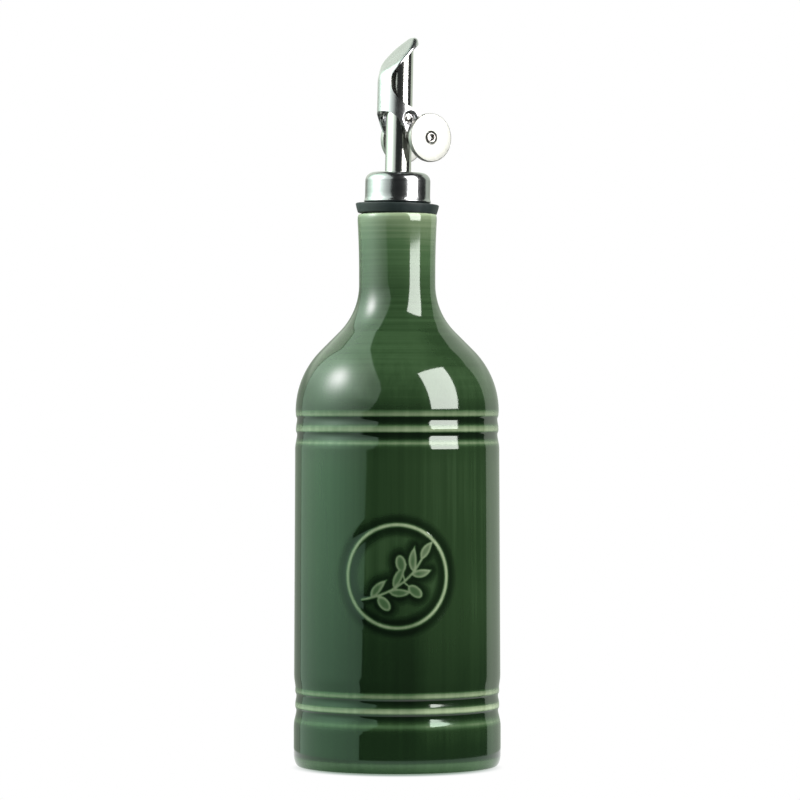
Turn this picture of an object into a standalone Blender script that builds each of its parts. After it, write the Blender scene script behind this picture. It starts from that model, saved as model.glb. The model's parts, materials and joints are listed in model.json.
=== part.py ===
"""Ceramic oil dispenser: a glazed bottle with a steel pourer whose weighted flap swings open.

Lengths are metres and +Z is up. The bottle stands on the XY plane, centred on Z, and the
emblem faces -Y. The pourer is modelled with its spout towards +X and then turned to one side.
"""
from math import asin, atan2, cos, hypot, pi, radians, sin

import bmesh
import bpy
from mathutils import Vector

# Gap kept between touching pieces
GAP = 0.0003
# Edges that turn by more than this are shown sharp
SHARP_ANGLE = radians(35)
FLAP_SHARP_ANGLE = radians(40)

# Bottle: radii, with heights above the table
FOOT_RADIUS = 0.0385
FOOT_CORNER_HEIGHT = 0.0046
FOOT_CORNER_INSET = 0.0018
FOOT_RING_WIDTH = 0.0050
FOOT_RECESS_DEPTH = 0.0012
WALL_TOP_RADIUS = 0.0380
WALL_TOP_HEIGHT = 0.1150
SHOULDER_FOOT_RADIUS = 0.0378
SHOULDER_FOOT_HEIGHT = 0.1317
SHOULDER_ARC = 0.0320
SHOULDER_SLOPE = radians(45)
NECK_ARC = 0.0250
NECK_RADIUS = 0.0142
NECK_FLARE_HEIGHT = 0.1830
NECK_FLARE_SHARES = (0.9, 0.5)
RIM_RADIUS = 0.0149
RIM_HEIGHT = 0.2050
RIM_ROUNDING = 0.0007
RIM_ROUNDING_INSET = 0.00014
# Heights of the rows between the two pairs of ridges
WALL_ROWS = (0.1050, 0.0720, 0.0330)
BOTTLE_SEGMENTS = 56
SHOULDER_STEPS = 7
NECK_STEPS = 5
CORNER_STEPS = 4

# Ridges round the bottle: each rises slowly to a crest and drops back sharply below it
UPPER_RIDGES = (0.1298, 0.1241)
UPPER_RIDGE_SINK = 0.0003
LOWER_RIDGES = (0.0272, 0.0217)
LOWER_RIDGE_SINK = 0.00045
RIDGE_STEP = 0.00042
# One ridge from the top down: depth below its crest as a share of the step, and height from
# its edge
RIDGE_PROFILE = ((0.20, 0.0022), (0.0, 0.0010), (0.15, 0.0), (1.0, -0.0005), (1.0, -0.0015))
# Wall below the lower groove: share of the way down, and share of the way back out to the wall
RUNOUT_HEIGHT = 0.0045
RUNOUT_PROFILE = ((0.35, 0.38), (0.70, 0.80), (1.0, 1.0))

# Emblem on the front: a ring and an olive sprig, raised from a shallow round dish
EMBLEM_HEIGHT = 0.0719
DISH_RADIUS = 0.0228
DISH_DEPTH = 0.0003
DISH_EDGE = 0.0014
DISH_RINGS = 3
DISH_CUTTER_RISE = 0.0056
# Section of the raised forms: place across as a share of the half width, height from the wall
RELIEF_SECTION = ((1.0, -0.0009), (0.75, -0.00012), (0.0, 0.0001), (-0.75, -0.00012), (-1.0, -0.0009))
RING_RADIUS = 0.01875
RING_HALF_WIDTH = 0.00085
RING_SEGMENTS = 44
STEM_START = (-0.0132, -0.0085)
STEM_BEND = (0.0025, -0.0060)
STEM_END = (0.0090, 0.0062)
STEM_HALF_WIDTH = 0.0005
STEM_STEPS = 8
# Leaves: place along the stem from 0 to 1, side of it, angle from it in degrees, length
LEAVES = (
    (0.12, 1, 48, 0.0088),
    (0.36, -1, 40, 0.0086),
    (0.44, 1, 46, 0.0100),
    (0.76, -1, 52, 0.0076),
    (0.80, 1, 50, 0.0094),
    (1.00, 1, 8, 0.0080),
)
LEAF_HALF_WIDTH = 0.0016
LEAF_END_WIDTH = 0.00024
LEAF_BEND = radians(14)
# Below 1 the leaf is widest before its middle
LEAF_FULLNESS = 0.8
LEAF_STEPS = 6
# Olives: place along the stem, side of it, angle from it in degrees, length of the stalk
OLIVES = ((0.20, -1, 66, 0.0012), (0.60, -1, 78, 0.0030), (0.62, 1, 62, 0.0040))
OLIVE_STEPS = 6
OLIVE_LENGTH = 0.0050
OLIVE_HALF_WIDTH = 0.0020
STALK_HALF_WIDTH = 0.0004

# Rubber flange and steel cap of the stopper
FLANGE_TOP_RADIUS = 0.0155
FLANGE_FOOT_RADIUS = 0.0147
FLANGE_THICKNESS = 0.0036
FLANGE_ROUNDING = 0.0004
CAP_RADIUS = 0.0121
CAP_HEIGHT = 0.0113
CAP_CORNER = 0.0032
CAP_CORNER_STEPS = 6
# Curled lower edge: its top, its middle, and how far it stands out
CAP_CURL_TOP = 0.0015
CAP_CURL_HEIGHT = 0.0005
CAP_CURL_REACH = 0.0002
STOPPER_SEGMENTS = 36

# Spout tube, with its mouth cut on a slant
SPOUT_RADIUS = 0.00484
SPOUT_BORE = 0.0042
SPOUT_MOUTH_HEIGHT = 0.2636
SPOUT_MOUTH_SLOPE = 1.07
SPOUT_UNCUT_HEIGHT = 0.2803
SPOUT_SEGMENTS = 32

# The pourer's turn about the bottle, and its pivot
POURER_TURN = radians(33)
PIVOT_HEIGHT = 0.2403
PIVOT_SHAFT_RADIUS = 0.0009
PIVOT_HEAD_RADIUS = 0.0016
PIVOT_HEAD_THICKNESS = 0.0007
# The head's profile, as shares of its radius and its thickness
PIVOT_HEAD_PROFILE = ((0.0, 1.0), (0.6, 0.85), (1.0, 0.35), (1.0, 0.0))
PIVOT_HOLE_RADIUS = 0.0012
PIVOT_SEGMENTS = 20

# Flap: a curved steel sheet round the back of the spout, with a domed cover over its mouth
FLAP_RADIUS = 0.0077
FLAP_THICKNESS = 0.0006
FLAP_FOOT = 0.0027
FLAP_EAR_DROP = 0.0030
# Share of the way round from the back where the lower edge starts to drop, and how fast
FLAP_DROP_START = 0.2
FLAP_DROP_RATE = 1.3
FLAP_COLUMNS = 12
# Sheet above the ears: height above the pivot, and half of the angle that the sheet covers
FLAP_WAIST = ((0.0034, 92), (0.0048, 75), (0.0068, 60), (0.0090, 44), (0.0111, 36), (0.0137, 32))
# Cover: its ridge rises from the sheet, bends over, runs straight up a flat slanted plate and
# turns down at the tip
BACK_RISE = 0.0005
BACK_ARC = 0.00616
COVER_LEAN = radians(43.5)
COVER_STRAIGHT = 0.0157
TIP_ARC = 0.0013
# Stations of the cover: distance along the ridge, then the rim's reach, height above the
# pivot and half width, the angle of the section, and how square it is (2 is round)
COVER_STATIONS = (
    (0.0014, -0.0063, 0.0152, 0.0042, 34, 2.0),
    (0.0032, -0.00565, 0.0169, 0.00445, 40, 2.2),
    (0.0052, -0.0049, 0.0182, 0.0051, 55, 2.8),
    (0.0074, -0.0041, 0.0196, 0.0056, 72, 3.8),
    (0.0102, -0.0025, 0.0216, 0.0059, 90, 5.0),
    (0.0134, -0.0002, 0.0238, 0.0058, 90, 5.0),
    (0.0162, 0.0019, 0.0257, 0.0054, 90, 5.0),
    (0.0184, 0.0037, 0.0269, 0.0045, 90, 4.4),
    (0.0202, 0.005, 0.0277, 0.0034, 90, 4.0),
    (0.0217, 0.0059, 0.0282, 0.0022, 90, 3.2),
    (0.0226, 0.0063, 0.02835, 0.0012, 90, 2.6),
    (0.0233, 0.00645, 0.0284, 0.0005, 90, 2.2),
)
ROUND_SECTION = 2.0

# Ears of the flap, from the pivot to the axle of the weights
EAR_INNER = 0.0070
EAR_OUTER = 0.00775
EAR_PIVOT_RADIUS = 0.0042
EAR_AXLE_RADIUS = 0.0047
EAR_STEPS = 12
DIMPLE_RADIUS = 0.0025
DIMPLE_WALL = 0.0005
DIMPLE_FLOOR = 0.0060
DIMPLE_END = 0.0053
# Span of the cutters that open a hole in one side of the flap
CUT_START = 0.0040
CUT_END = 0.0090
PLUG_SEGMENTS = 24

# Counterweights and their axle
AXLE_REACH = 0.0076
AXLE_DROP = 0.0068
AXLE_RADIUS = 0.0019
AXLE_HOLLOW_RADIUS = 0.0011
AXLE_HOLLOW_DEPTH = 0.0014
AXLE_HALF_LENGTH = 0.0108
WEIGHT_RADIUS = 0.0090
WEIGHT_HOLE_RADIUS = 0.0024
WEIGHT_THICKNESS = 0.0020
WEIGHT_OFFSET = 0.0095
WEIGHT_ROUNDING = 0.0003
WEIGHT_SEGMENTS = 40
AXLE_SEGMENTS = 24


def clear_scene():
    """Removes every object of the open scene."""
    for item in list(bpy.data.objects):
        bpy.data.objects.remove(item, do_unlink=True)


def material(name, colour, roughness, metallic=0.0):
    """A plain surface of one colour."""
    surface = bpy.data.materials.new(name)
    surface.use_nodes = True
    shader = surface.node_tree.nodes["Principled BSDF"]
    shader.inputs["Base Color"].default_value = (*colour, 1.0)
    shader.inputs["Roughness"].default_value = roughness
    shader.inputs["Metallic"].default_value = metallic
    surface.diffuse_color = (*colour, 1.0)
    return surface


def to_object(name, bm, surface=None):
    """Writes a bmesh to a new object, with its faces turned outwards."""
    bmesh.ops.recalc_face_normals(bm, faces=bm.faces)
    mesh = bpy.data.meshes.new(name)
    bm.to_mesh(mesh)
    bm.free()
    mesh.shade_smooth()
    mesh.set_sharp_from_angle(angle=SHARP_ANGLE)
    if surface:
        mesh.materials.append(surface)
    item = bpy.data.objects.new(name, mesh)
    bpy.context.scene.collection.objects.link(item)
    return item


def boolean(target, tool, operation):
    """Joins the tool to the target or cuts it away, and removes the tool."""
    modifier = target.modifiers.new("boolean", "BOOLEAN")
    modifier.operation = operation
    modifier.solver = "EXACT"
    modifier.object = tool
    graph = bpy.context.evaluated_depsgraph_get()
    mesh = bpy.data.meshes.new_from_object(target.evaluated_get(graph))
    target.modifiers.clear()
    mesh.name = target.name
    target.data = mesh
    bpy.data.objects.remove(tool, do_unlink=True)


def arc(centre, radius, start, end, steps):
    """Points along an arc in the (radius, height) plane, both ends included."""
    angles = [start + (end - start) * i / steps for i in range(steps + 1)]
    return [(centre[0] + radius * cos(a), centre[1] + radius * sin(a)) for a in angles]


def turned(name, profile, segments, surface=None, closed=False):
    """Turns a profile of (radius, height) points about Z."""
    bm = bmesh.new()
    verts = [bm.verts.new((r, 0.0, z)) for r, z in profile]
    edges = [bm.edges.new(pair) for pair in zip(verts, verts[1:])]
    if closed:
        edges.append(bm.edges.new((verts[-1], verts[0])))
    bmesh.ops.spin(
        bm,
        geom=verts + edges,
        cent=(0, 0, 0),
        axis=(0, 0, 1),
        angle=2 * pi,
        steps=segments,
        use_merge=True,
    )
    bmesh.ops.remove_doubles(bm, verts=bm.verts, dist=1e-6)
    return to_object(name, bm, surface)


def wall_radius(height):
    """Radius of the bottle's body, which widens a little towards the foot."""
    share = (WALL_TOP_HEIGHT - height) / (WALL_TOP_HEIGHT - FOOT_CORNER_HEIGHT)
    return WALL_TOP_RADIUS + (FOOT_RADIUS - WALL_TOP_RADIUS) * min(max(share, 0.0), 1.0)


def ridge_points(edges, sink):
    """Profile of a pair of ridges, from the upper one down to where the wall is plain again."""
    points = []
    for edge in edges:
        crest = wall_radius(edge) - sink
        points += [(crest - share * RIDGE_STEP, edge + rise) for share, rise in RIDGE_PROFILE]
    groove, start = points[-1]
    for down, share in RUNOUT_PROFILE:
        height = start - down * RUNOUT_HEIGHT
        points.append((groove + share * (wall_radius(height) - groove), height))
    return points


def shoulder_points():
    """Convex shoulder, straight slope and concave run into the neck, from the top down."""
    centre = (SHOULDER_FOOT_RADIUS - SHOULDER_ARC, SHOULDER_FOOT_HEIGHT)
    slope_foot_radius = centre[0] + SHOULDER_ARC * cos(SHOULDER_SLOPE)
    slope_foot_height = centre[1] + SHOULDER_ARC * sin(SHOULDER_SLOPE)
    slope_top_radius = NECK_RADIUS + NECK_ARC * (1 - cos(SHOULDER_SLOPE))
    slope_top_height = slope_foot_height + slope_foot_radius - slope_top_radius
    neck_centre = (NECK_RADIUS + NECK_ARC, slope_top_height + NECK_ARC * sin(SHOULDER_SLOPE))
    neck = arc(neck_centre, NECK_ARC, pi, pi + SHOULDER_SLOPE, NECK_STEPS)
    shoulder = arc(centre, SHOULDER_ARC, SHOULDER_SLOPE, 0.0, SHOULDER_STEPS)
    return neck + shoulder


def bottle_profile():
    """Outer profile of the bottle, from the middle of its top to the middle of its base.

    The shoulder runs straight into the first crest, without the rise that leads to the others.
    """
    flare = [
        (RIM_RADIUS - RIM_ROUNDING, RIM_HEIGHT),
        (RIM_RADIUS - RIM_ROUNDING_INSET, RIM_HEIGHT - RIM_ROUNDING),
    ]
    for share in NECK_FLARE_SHARES:
        height = NECK_FLARE_HEIGHT + share * (RIM_HEIGHT - NECK_FLARE_HEIGHT)
        flare.append((NECK_RADIUS + (RIM_RADIUS - NECK_RADIUS) * share**2, height))
    corner = []
    for step in range(CORNER_STEPS + 1):
        angle = step / CORNER_STEPS * pi / 2
        corner.append((
            FOOT_RADIUS - FOOT_CORNER_INSET * (1 - cos(angle)),
            FOOT_CORNER_HEIGHT * (1 - sin(angle)),
        ))
    recess_radius = FOOT_RADIUS - FOOT_CORNER_INSET - FOOT_RING_WIDTH
    base = [
        (recess_radius, 0.0),
        (recess_radius - FOOT_RECESS_DEPTH, FOOT_RECESS_DEPTH),
        (0.0, FOOT_RECESS_DEPTH),
    ]
    return (
        [(0.0, RIM_HEIGHT)]
        + flare
        + shoulder_points()
        + ridge_points(UPPER_RIDGES, UPPER_RIDGE_SINK)[1:]
        + [(wall_radius(h), h) for h in WALL_ROWS]
        + ridge_points(LOWER_RIDGES, LOWER_RIDGE_SINK)
        + corner
        + base
    )


def wrap(across, rise, up):
    """Lays a point of the flat emblem on the bottle's front, at a height from the wall."""
    height = EMBLEM_HEIGHT + up
    radius = wall_radius(height) + rise
    angle = across / wall_radius(EMBLEM_HEIGHT)
    return (radius * sin(angle), -radius * cos(angle), height)


def raised_strip(path, half_widths, closed=False):
    """A raised form along a path on the emblem, highest along its middle, rooted in the wall."""
    bm = bmesh.new()
    count = len(path)
    rows = []
    for i, (x, z) in enumerate(path):
        before = path[i - 1] if closed else path[max(i - 1, 0)]
        after = path[(i + 1) % count] if closed else path[min(i + 1, count - 1)]
        along = Vector((after[0] - before[0], after[1] - before[1])).normalized()
        side = Vector((-along.y, along.x)) * half_widths[i]
        row = [wrap(x + side.x * share, rise, z + side.y * share) for share, rise in RELIEF_SECTION]
        rows.append([bm.verts.new(point) for point in row])
    pairs = list(zip(rows, rows[1:]))
    if closed:
        pairs.append((rows[-1], rows[0]))
    for one, two in pairs:
        for k in range(len(one)):
            following = (k + 1) % len(one)
            bm.faces.new((one[k], one[following], two[following], two[k]))
    if not closed:
        bm.faces.new(rows[0])
        bm.faces.new(rows[-1])
    bmesh.ops.triangulate(bm, faces=bm.faces)
    return to_object("relief", bm)


def stem_point(share):
    """Point of the sprig's stem, a curve from its start through a bend to its end."""
    return tuple(
        (1 - share) ** 2 * a + 2 * share * (1 - share) * b + share**2 * c
        for a, b, c in zip(STEM_START, STEM_BEND, STEM_END)
    )


def stem_direction(share):
    """Angle of the stem at a place along it."""
    ahead, behind = stem_point(share + 0.01), stem_point(share - 0.01)
    return atan2(ahead[1] - behind[1], ahead[0] - behind[0])


def leaf(place, side, degrees, length):
    """A slim pointed leaf that springs from the stem."""
    x, z = stem_point(place)
    angle = stem_direction(place) + side * radians(degrees)
    path, widths = [], []
    for i in range(LEAF_STEPS + 1):
        share = i / LEAF_STEPS
        bend = angle - side * LEAF_BEND * share
        path.append((x + share * length * cos(bend), z + share * length * sin(bend)))
        widths.append(max(LEAF_HALF_WIDTH * sin(pi * share**LEAF_FULLNESS), LEAF_END_WIDTH))
    return raised_strip(path, widths)


def olive(place, side, degrees, stalk):
    """A plump olive at the end of a short stalk."""
    x, z = stem_point(place)
    angle = stem_direction(place) + side * radians(degrees)
    path = [(x, z)]
    widths = [STALK_HALF_WIDTH]
    for i in range(OLIVE_STEPS + 1):
        turn = pi * i / OLIVE_STEPS
        reach = stalk + OLIVE_LENGTH * (1 - cos(turn)) / 2
        path.append((x + reach * cos(angle), z + reach * sin(angle)))
        widths.append(max(OLIVE_HALF_WIDTH * sin(turn), STALK_HALF_WIDTH))
    return raised_strip(path, widths)


def emblem_ring():
    """The ring round the emblem."""
    angles = [2 * pi * i / RING_SEGMENTS for i in range(RING_SEGMENTS)]
    path = [(RING_RADIUS * cos(a), RING_RADIUS * sin(a)) for a in angles]
    return raised_strip(path, [RING_HALF_WIDTH] * RING_SEGMENTS, closed=True)


def emblem_dish():
    """Cutter for the shallow dish that the emblem is raised from."""
    bm = bmesh.new()
    floor = DISH_RADIUS - DISH_EDGE
    rings = [(floor * (k + 1) / DISH_RINGS, -DISH_DEPTH) for k in range(DISH_RINGS)]
    rings += [(DISH_RADIUS, 0.0), (DISH_RADIUS + DISH_EDGE, DISH_DEPTH)]
    count = RING_SEGMENTS
    angles = [2 * pi * i / count for i in range(count)]
    loops = [[bm.verts.new(wrap(r * cos(a), rise, r * sin(a))) for a in angles] for r, rise in rings]
    for one, two in zip(loops, loops[1:]):
        for i in range(count):
            following = (i + 1) % count
            bm.faces.new((one[i], one[following], two[following], two[i]))
    middle = bm.verts.new(wrap(0.0, -DISH_DEPTH, 0.0))
    outside = bm.verts.new(wrap(0.0, DISH_CUTTER_RISE, 0.0))
    for i in range(count):
        following = (i + 1) % count
        bm.faces.new((middle, loops[0][i], loops[0][following]))
        bm.faces.new((outside, loops[-1][i], loops[-1][following]))
    bmesh.ops.triangulate(bm, faces=bm.faces)
    return to_object("dish", bm)


def bottle():
    """The stoneware bottle, solid because its closed inside can't be seen."""
    glaze = material("green glaze", (0.035, 0.085, 0.035), 0.12)
    item = turned("bottle", bottle_profile(), BOTTLE_SEGMENTS, glaze)
    boolean(item, emblem_dish(), "DIFFERENCE")
    stem = [stem_point(i / STEM_STEPS) for i in range(STEM_STEPS + 1)]
    boolean(item, emblem_ring(), "UNION")
    boolean(item, raised_strip(stem, [STEM_HALF_WIDTH] * len(stem)), "UNION")
    for values in LEAVES:
        boolean(item, leaf(*values), "UNION")
    for values in OLIVES:
        boolean(item, olive(*values), "UNION")


def flange(rubber):
    """The stopper's rubber flange, which rests on the bottle's rim."""
    foot = RIM_HEIGHT + GAP
    top = foot + FLANGE_THICKNESS
    profile = [
        (0.0, top),
        (FLANGE_TOP_RADIUS - FLANGE_ROUNDING, top),
        (FLANGE_TOP_RADIUS, top - FLANGE_ROUNDING),
        (FLANGE_FOOT_RADIUS + FLANGE_ROUNDING, foot + FLANGE_ROUNDING),
        (FLANGE_FOOT_RADIUS, foot),
        (0.0, foot),
    ]
    turned("rubber_flange", profile, STOPPER_SEGMENTS, rubber)
    return top


def cap(steel, foot):
    """The steel cap over the stopper, with a rounded shoulder and a curled lower edge."""
    foot += GAP
    top = foot + CAP_HEIGHT
    profile = [(0.0, top)]
    corner = (CAP_RADIUS - CAP_CORNER, top - CAP_CORNER)
    profile += arc(corner, CAP_CORNER, pi / 2, 0.0, CAP_CORNER_STEPS)
    profile.append((CAP_RADIUS, foot + CAP_CURL_TOP))
    profile.append((CAP_RADIUS + CAP_CURL_REACH, foot + CAP_CURL_HEIGHT))
    profile += [(CAP_RADIUS, foot), (0.0, foot)]
    turned("pourer_cap", profile, STOPPER_SEGMENTS, steel)
    return top


def spout(steel, foot, frame):
    """The open spout tube, with its mouth cut on a slant that is longest to the front."""
    foot += GAP
    top = SPOUT_UNCUT_HEIGHT
    profile = [(SPOUT_BORE, top), (SPOUT_RADIUS, top), (SPOUT_RADIUS, foot), (SPOUT_BORE, foot)]
    item = turned("spout_tube", profile, SPOUT_SEGMENTS, steel, closed=True)
    bm = bmesh.new()
    bm.from_mesh(item.data)
    geometry = list(bm.verts) + list(bm.edges) + list(bm.faces)
    cut = bmesh.ops.bisect_plane(
        bm,
        geom=geometry,
        plane_co=(0.0, 0.0, SPOUT_MOUTH_HEIGHT),
        plane_no=(-SPOUT_MOUTH_SLOPE, 0.0, 1.0),
        clear_outer=True,
    )
    edges = [e for e in cut["geom_cut"] if isinstance(e, bmesh.types.BMEdge)]
    bmesh.ops.bridge_loops(bm, edges=edges)
    bmesh.ops.recalc_face_normals(bm, faces=bm.faces)
    bm.to_mesh(item.data)
    bm.free()
    item.data.shade_smooth()
    item.data.set_sharp_from_angle(angle=SHARP_ANGLE)
    item.parent = frame


def across_flap(item, side, reach, height):
    """Turns a piece made along +Z to point sideways from the flap's middle plane."""
    item.rotation_euler = (-side * pi / 2, 0.0, 0.0)
    item.location = (reach, 0.0, height)


def pivot_rivet(name, steel, side, frame):
    """A headed rivet on the side of the spout, on which an ear of the flap turns."""
    root = SPOUT_RADIUS + GAP
    head = DIMPLE_FLOOR + GAP
    profile = [
        (share * PIVOT_HEAD_RADIUS, head + rise * PIVOT_HEAD_THICKNESS)
        for share, rise in PIVOT_HEAD_PROFILE
    ]
    profile += [(PIVOT_SHAFT_RADIUS, head), (PIVOT_SHAFT_RADIUS, root), (0.0, root)]
    item = turned(name, profile, PIVOT_SEGMENTS, steel)
    across_flap(item, side, 0.0, PIVOT_HEIGHT)
    item.parent = frame


def ridge_point(distance):
    """Point of the cover's ridge in the flap's middle plane, at a distance along it."""
    rise = min(distance, BACK_RISE)
    distance -= rise
    turn = min(distance / BACK_ARC, COVER_LEAN)
    distance -= turn * BACK_ARC
    along = min(distance, COVER_STRAIGHT)
    tip = COVER_LEAN + (distance - along) / TIP_ARC
    x = -FLAP_RADIUS + BACK_ARC * (1 - cos(turn)) + along * sin(COVER_LEAN)
    x += TIP_ARC * (cos(COVER_LEAN) - cos(tip))
    z = FLAP_WAIST[-1][0] + rise + BACK_ARC * sin(turn) + along * cos(COVER_LEAN)
    z += TIP_ARC * (sin(tip) - sin(COVER_LEAN))
    return (x, z)


def corner_size(angle, square):
    """How far a section reaches at an angle, beside a round one."""
    return (abs(sin(angle)) ** square + abs(cos(angle)) ** square) ** (1 / square)


def section(ridge, rim, half_width, degrees, square):
    """One row of the sheet, from rim to rim over the ridge: round, or flat with rounded edges."""
    limit = radians(degrees)
    edge = corner_size(limit, square)
    centre = [(m - r * cos(limit)) / (1 - cos(limit)) for m, r in zip(rim, ridge)]
    row = []
    for k in range(-FLAP_COLUMNS // 2, FLAP_COLUMNS // 2 + 1):
        angle = limit * k / (FLAP_COLUMNS // 2)
        size = edge / corner_size(angle, square)
        lift = (size * cos(angle) - cos(limit)) / (edge - cos(limit))
        up = cos(limit) + lift * (1 - cos(limit))
        x = centre[0] + (ridge[0] - centre[0]) * up
        z = centre[1] + (ridge[1] - centre[1]) * up
        row.append((x, half_width / sin(limit) * sin(angle) * size, z))
    return row


def sheet_rows():
    """Rows of the flap's outer face, from its lower edge to the tip, about the pivot."""
    rows = []
    for height, degrees in FLAP_WAIST:
        angle = radians(degrees)
        ridge = (-FLAP_RADIUS, height)
        rim = (-FLAP_RADIUS * cos(angle), height)
        rows.append(section(ridge, rim, FLAP_RADIUS * sin(angle), degrees, ROUND_SECTION))
    lower_edge = []
    for x, y, _ in rows[0]:
        round_back = abs(atan2(y, -x)) / radians(FLAP_WAIST[0][1])
        drop = max(round_back - FLAP_DROP_START, 0.0) / (1 - FLAP_DROP_START)
        lower_edge.append((x, y, FLAP_FOOT - FLAP_EAR_DROP * min(FLAP_DROP_RATE * drop, 1.0)))
    for distance, reach, height, half_width, degrees, square in COVER_STATIONS:
        rows.append(section(ridge_point(distance), (reach, height), half_width, degrees, square))
    return [lower_edge] + rows


def flap_sheet():
    """The curved sheet of the flap, at its real thickness."""
    bm = bmesh.new()
    grid = [[bm.verts.new(point) for point in row] for row in sheet_rows()]
    for low, high in zip(grid, grid[1:]):
        for k in range(len(low) - 1):
            bm.faces.new((low[k], high[k], high[k + 1], low[k + 1]))
    item = to_object("pour_flap", bm)
    if item.data.polygons[0].normal.x > 0:
        item.data.flip_normals()
    solidify = item.modifiers.new("thickness", "SOLIDIFY")
    solidify.thickness = FLAP_THICKNESS
    solidify.offset = -1.0
    graph = bpy.context.evaluated_depsgraph_get()
    item.data = bpy.data.meshes.new_from_object(item.evaluated_get(graph))
    item.modifiers.clear()
    return item


def ear_outline():
    """Outline of an ear: the tangent strap round the pivot and the axle of the weights."""
    reach, drop = AXLE_REACH, -AXLE_DROP
    direction = atan2(drop, reach)
    spread = asin((EAR_AXLE_RADIUS - EAR_PIVOT_RADIUS) / hypot(reach, drop))
    start = direction + pi / 2 + spread
    end = direction - pi / 2 - spread + 2 * pi
    points = arc((0.0, 0.0), EAR_PIVOT_RADIUS, start, end, EAR_STEPS)
    points += arc((reach, drop), EAR_AXLE_RADIUS, end - 2 * pi, start, EAR_STEPS)
    return points


def ear(side):
    """A flat ear of the flap, on one side."""
    bm = bmesh.new()
    outline = ear_outline()
    faces = [[bm.verts.new((x, side * y, z)) for x, z in outline] for y in (EAR_INNER, EAR_OUTER)]
    for i in range(len(outline)):
        following = (i + 1) % len(outline)
        bm.faces.new((faces[0][i], faces[0][following], faces[1][following], faces[1][i]))
    for loop in faces:
        bm.faces.new(loop)
    return to_object("ear", bm)


def plug(root, tip, side, place=(0.0, 0.0), segments=PLUG_SEGMENTS):
    """A round tool across the flap, between two (radius, distance from the middle) ends."""
    profile = [(0.0, tip[1]), tip, root, (0.0, root[1])]
    item = turned("plug", profile, segments)
    across_flap(item, side, *place)
    return item


def hole(radius, side, place=(0.0, 0.0), segments=PLUG_SEGMENTS):
    """A cutter for a straight round hole through one side of the flap."""
    return plug((radius, CUT_START), (radius, CUT_END), side, place, segments)


def flap(steel, frame):
    """The pour flap: sheet, ears, pressed dimples with the pivot holes, and the axle's holes."""
    item = flap_sheet()
    outer = DIMPLE_RADIUS + DIMPLE_WALL
    for side in (-1, 1):
        boolean(item, ear(side), "UNION")
        wall = plug((outer, DIMPLE_END), (outer + DIMPLE_WALL, EAR_OUTER - GAP), side)
        boolean(item, wall, "UNION")
        inside = plug((DIMPLE_RADIUS - DIMPLE_WALL, DIMPLE_FLOOR), (DIMPLE_RADIUS, CUT_END), side)
        boolean(item, inside, "DIFFERENCE")
        boolean(item, hole(PIVOT_HOLE_RADIUS, side, segments=PIVOT_SEGMENTS), "DIFFERENCE")
        boolean(item, hole(AXLE_RADIUS + GAP, side, (AXLE_REACH, -AXLE_DROP)), "DIFFERENCE")
    item.data.materials.clear()
    item.data.materials.append(steel)
    item.data.shade_smooth()
    item.data.set_sharp_from_angle(angle=FLAP_SHARP_ANGLE)
    item.location = (0.0, 0.0, PIVOT_HEIGHT)
    item.parent = frame


def weight(name, steel, side, frame):
    """A counterweight disc with a hole for the axle."""
    inner = WEIGHT_OFFSET - WEIGHT_THICKNESS / 2
    outer = WEIGHT_OFFSET + WEIGHT_THICKNESS / 2
    soft = WEIGHT_ROUNDING
    profile = [
        (WEIGHT_HOLE_RADIUS, outer),
        (WEIGHT_RADIUS - soft, outer),
        (WEIGHT_RADIUS, outer - soft),
        (WEIGHT_RADIUS, inner + soft),
        (WEIGHT_RADIUS - soft, inner),
        (WEIGHT_HOLE_RADIUS, inner),
    ]
    item = turned(name, profile, WEIGHT_SEGMENTS, steel, closed=True)
    across_flap(item, side, AXLE_REACH, PIVOT_HEIGHT - AXLE_DROP)
    item.parent = frame


def axle(steel, frame):
    """The axle of the counterweights, with hollow riveted ends."""
    end = AXLE_HALF_LENGTH
    half = [
        (0.0, end - AXLE_HOLLOW_DEPTH),
        (AXLE_HOLLOW_RADIUS, end - AXLE_HOLLOW_DEPTH),
        (AXLE_HOLLOW_RADIUS, end),
        (AXLE_RADIUS, end),
    ]
    profile = half + [(r, -z) for r, z in reversed(half)]
    item = turned("weight_axle", profile, AXLE_SEGMENTS, steel)
    across_flap(item, 1, AXLE_REACH, PIVOT_HEIGHT - AXLE_DROP)
    item.parent = frame


def main():
    """Builds the whole dispenser."""
    clear_scene()
    steel = material("polished steel", (0.78, 0.78, 0.76), 0.18, metallic=1.0)
    brushed = material("brushed steel", (0.74, 0.73, 0.69), 0.35, metallic=1.0)
    rubber = material("black rubber", (0.02, 0.025, 0.025), 0.6)
    frame = bpy.data.objects.new("pourer_frame", None)
    frame.rotation_euler = (0.0, 0.0, POURER_TURN)
    bpy.context.scene.collection.objects.link(frame)
    bottle()
    flange_top = flange(rubber)
    cap_top = cap(brushed, flange_top)
    spout(steel, cap_top, frame)
    flap(steel, frame)
    for name, side in (("near", -1), ("far", 1)):
        pivot_rivet("pivot_rivet_" + name, steel, side, frame)
        weight("weight_disc_" + name, brushed, side, frame)
    axle(steel, frame)


main()
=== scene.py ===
"""Looks of the ceramic oil dispenser: green glaze, steel pourer, and a white studio.

Lengths are metres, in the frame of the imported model: +Z is up and the emblem faces -Y.
"""
import json
from math import atan2, cos, hypot, pi, radians, sin

import bmesh
import bpy
import numpy as np
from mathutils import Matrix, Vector
from mathutils.geometry import delaunay_2d_cdt

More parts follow.
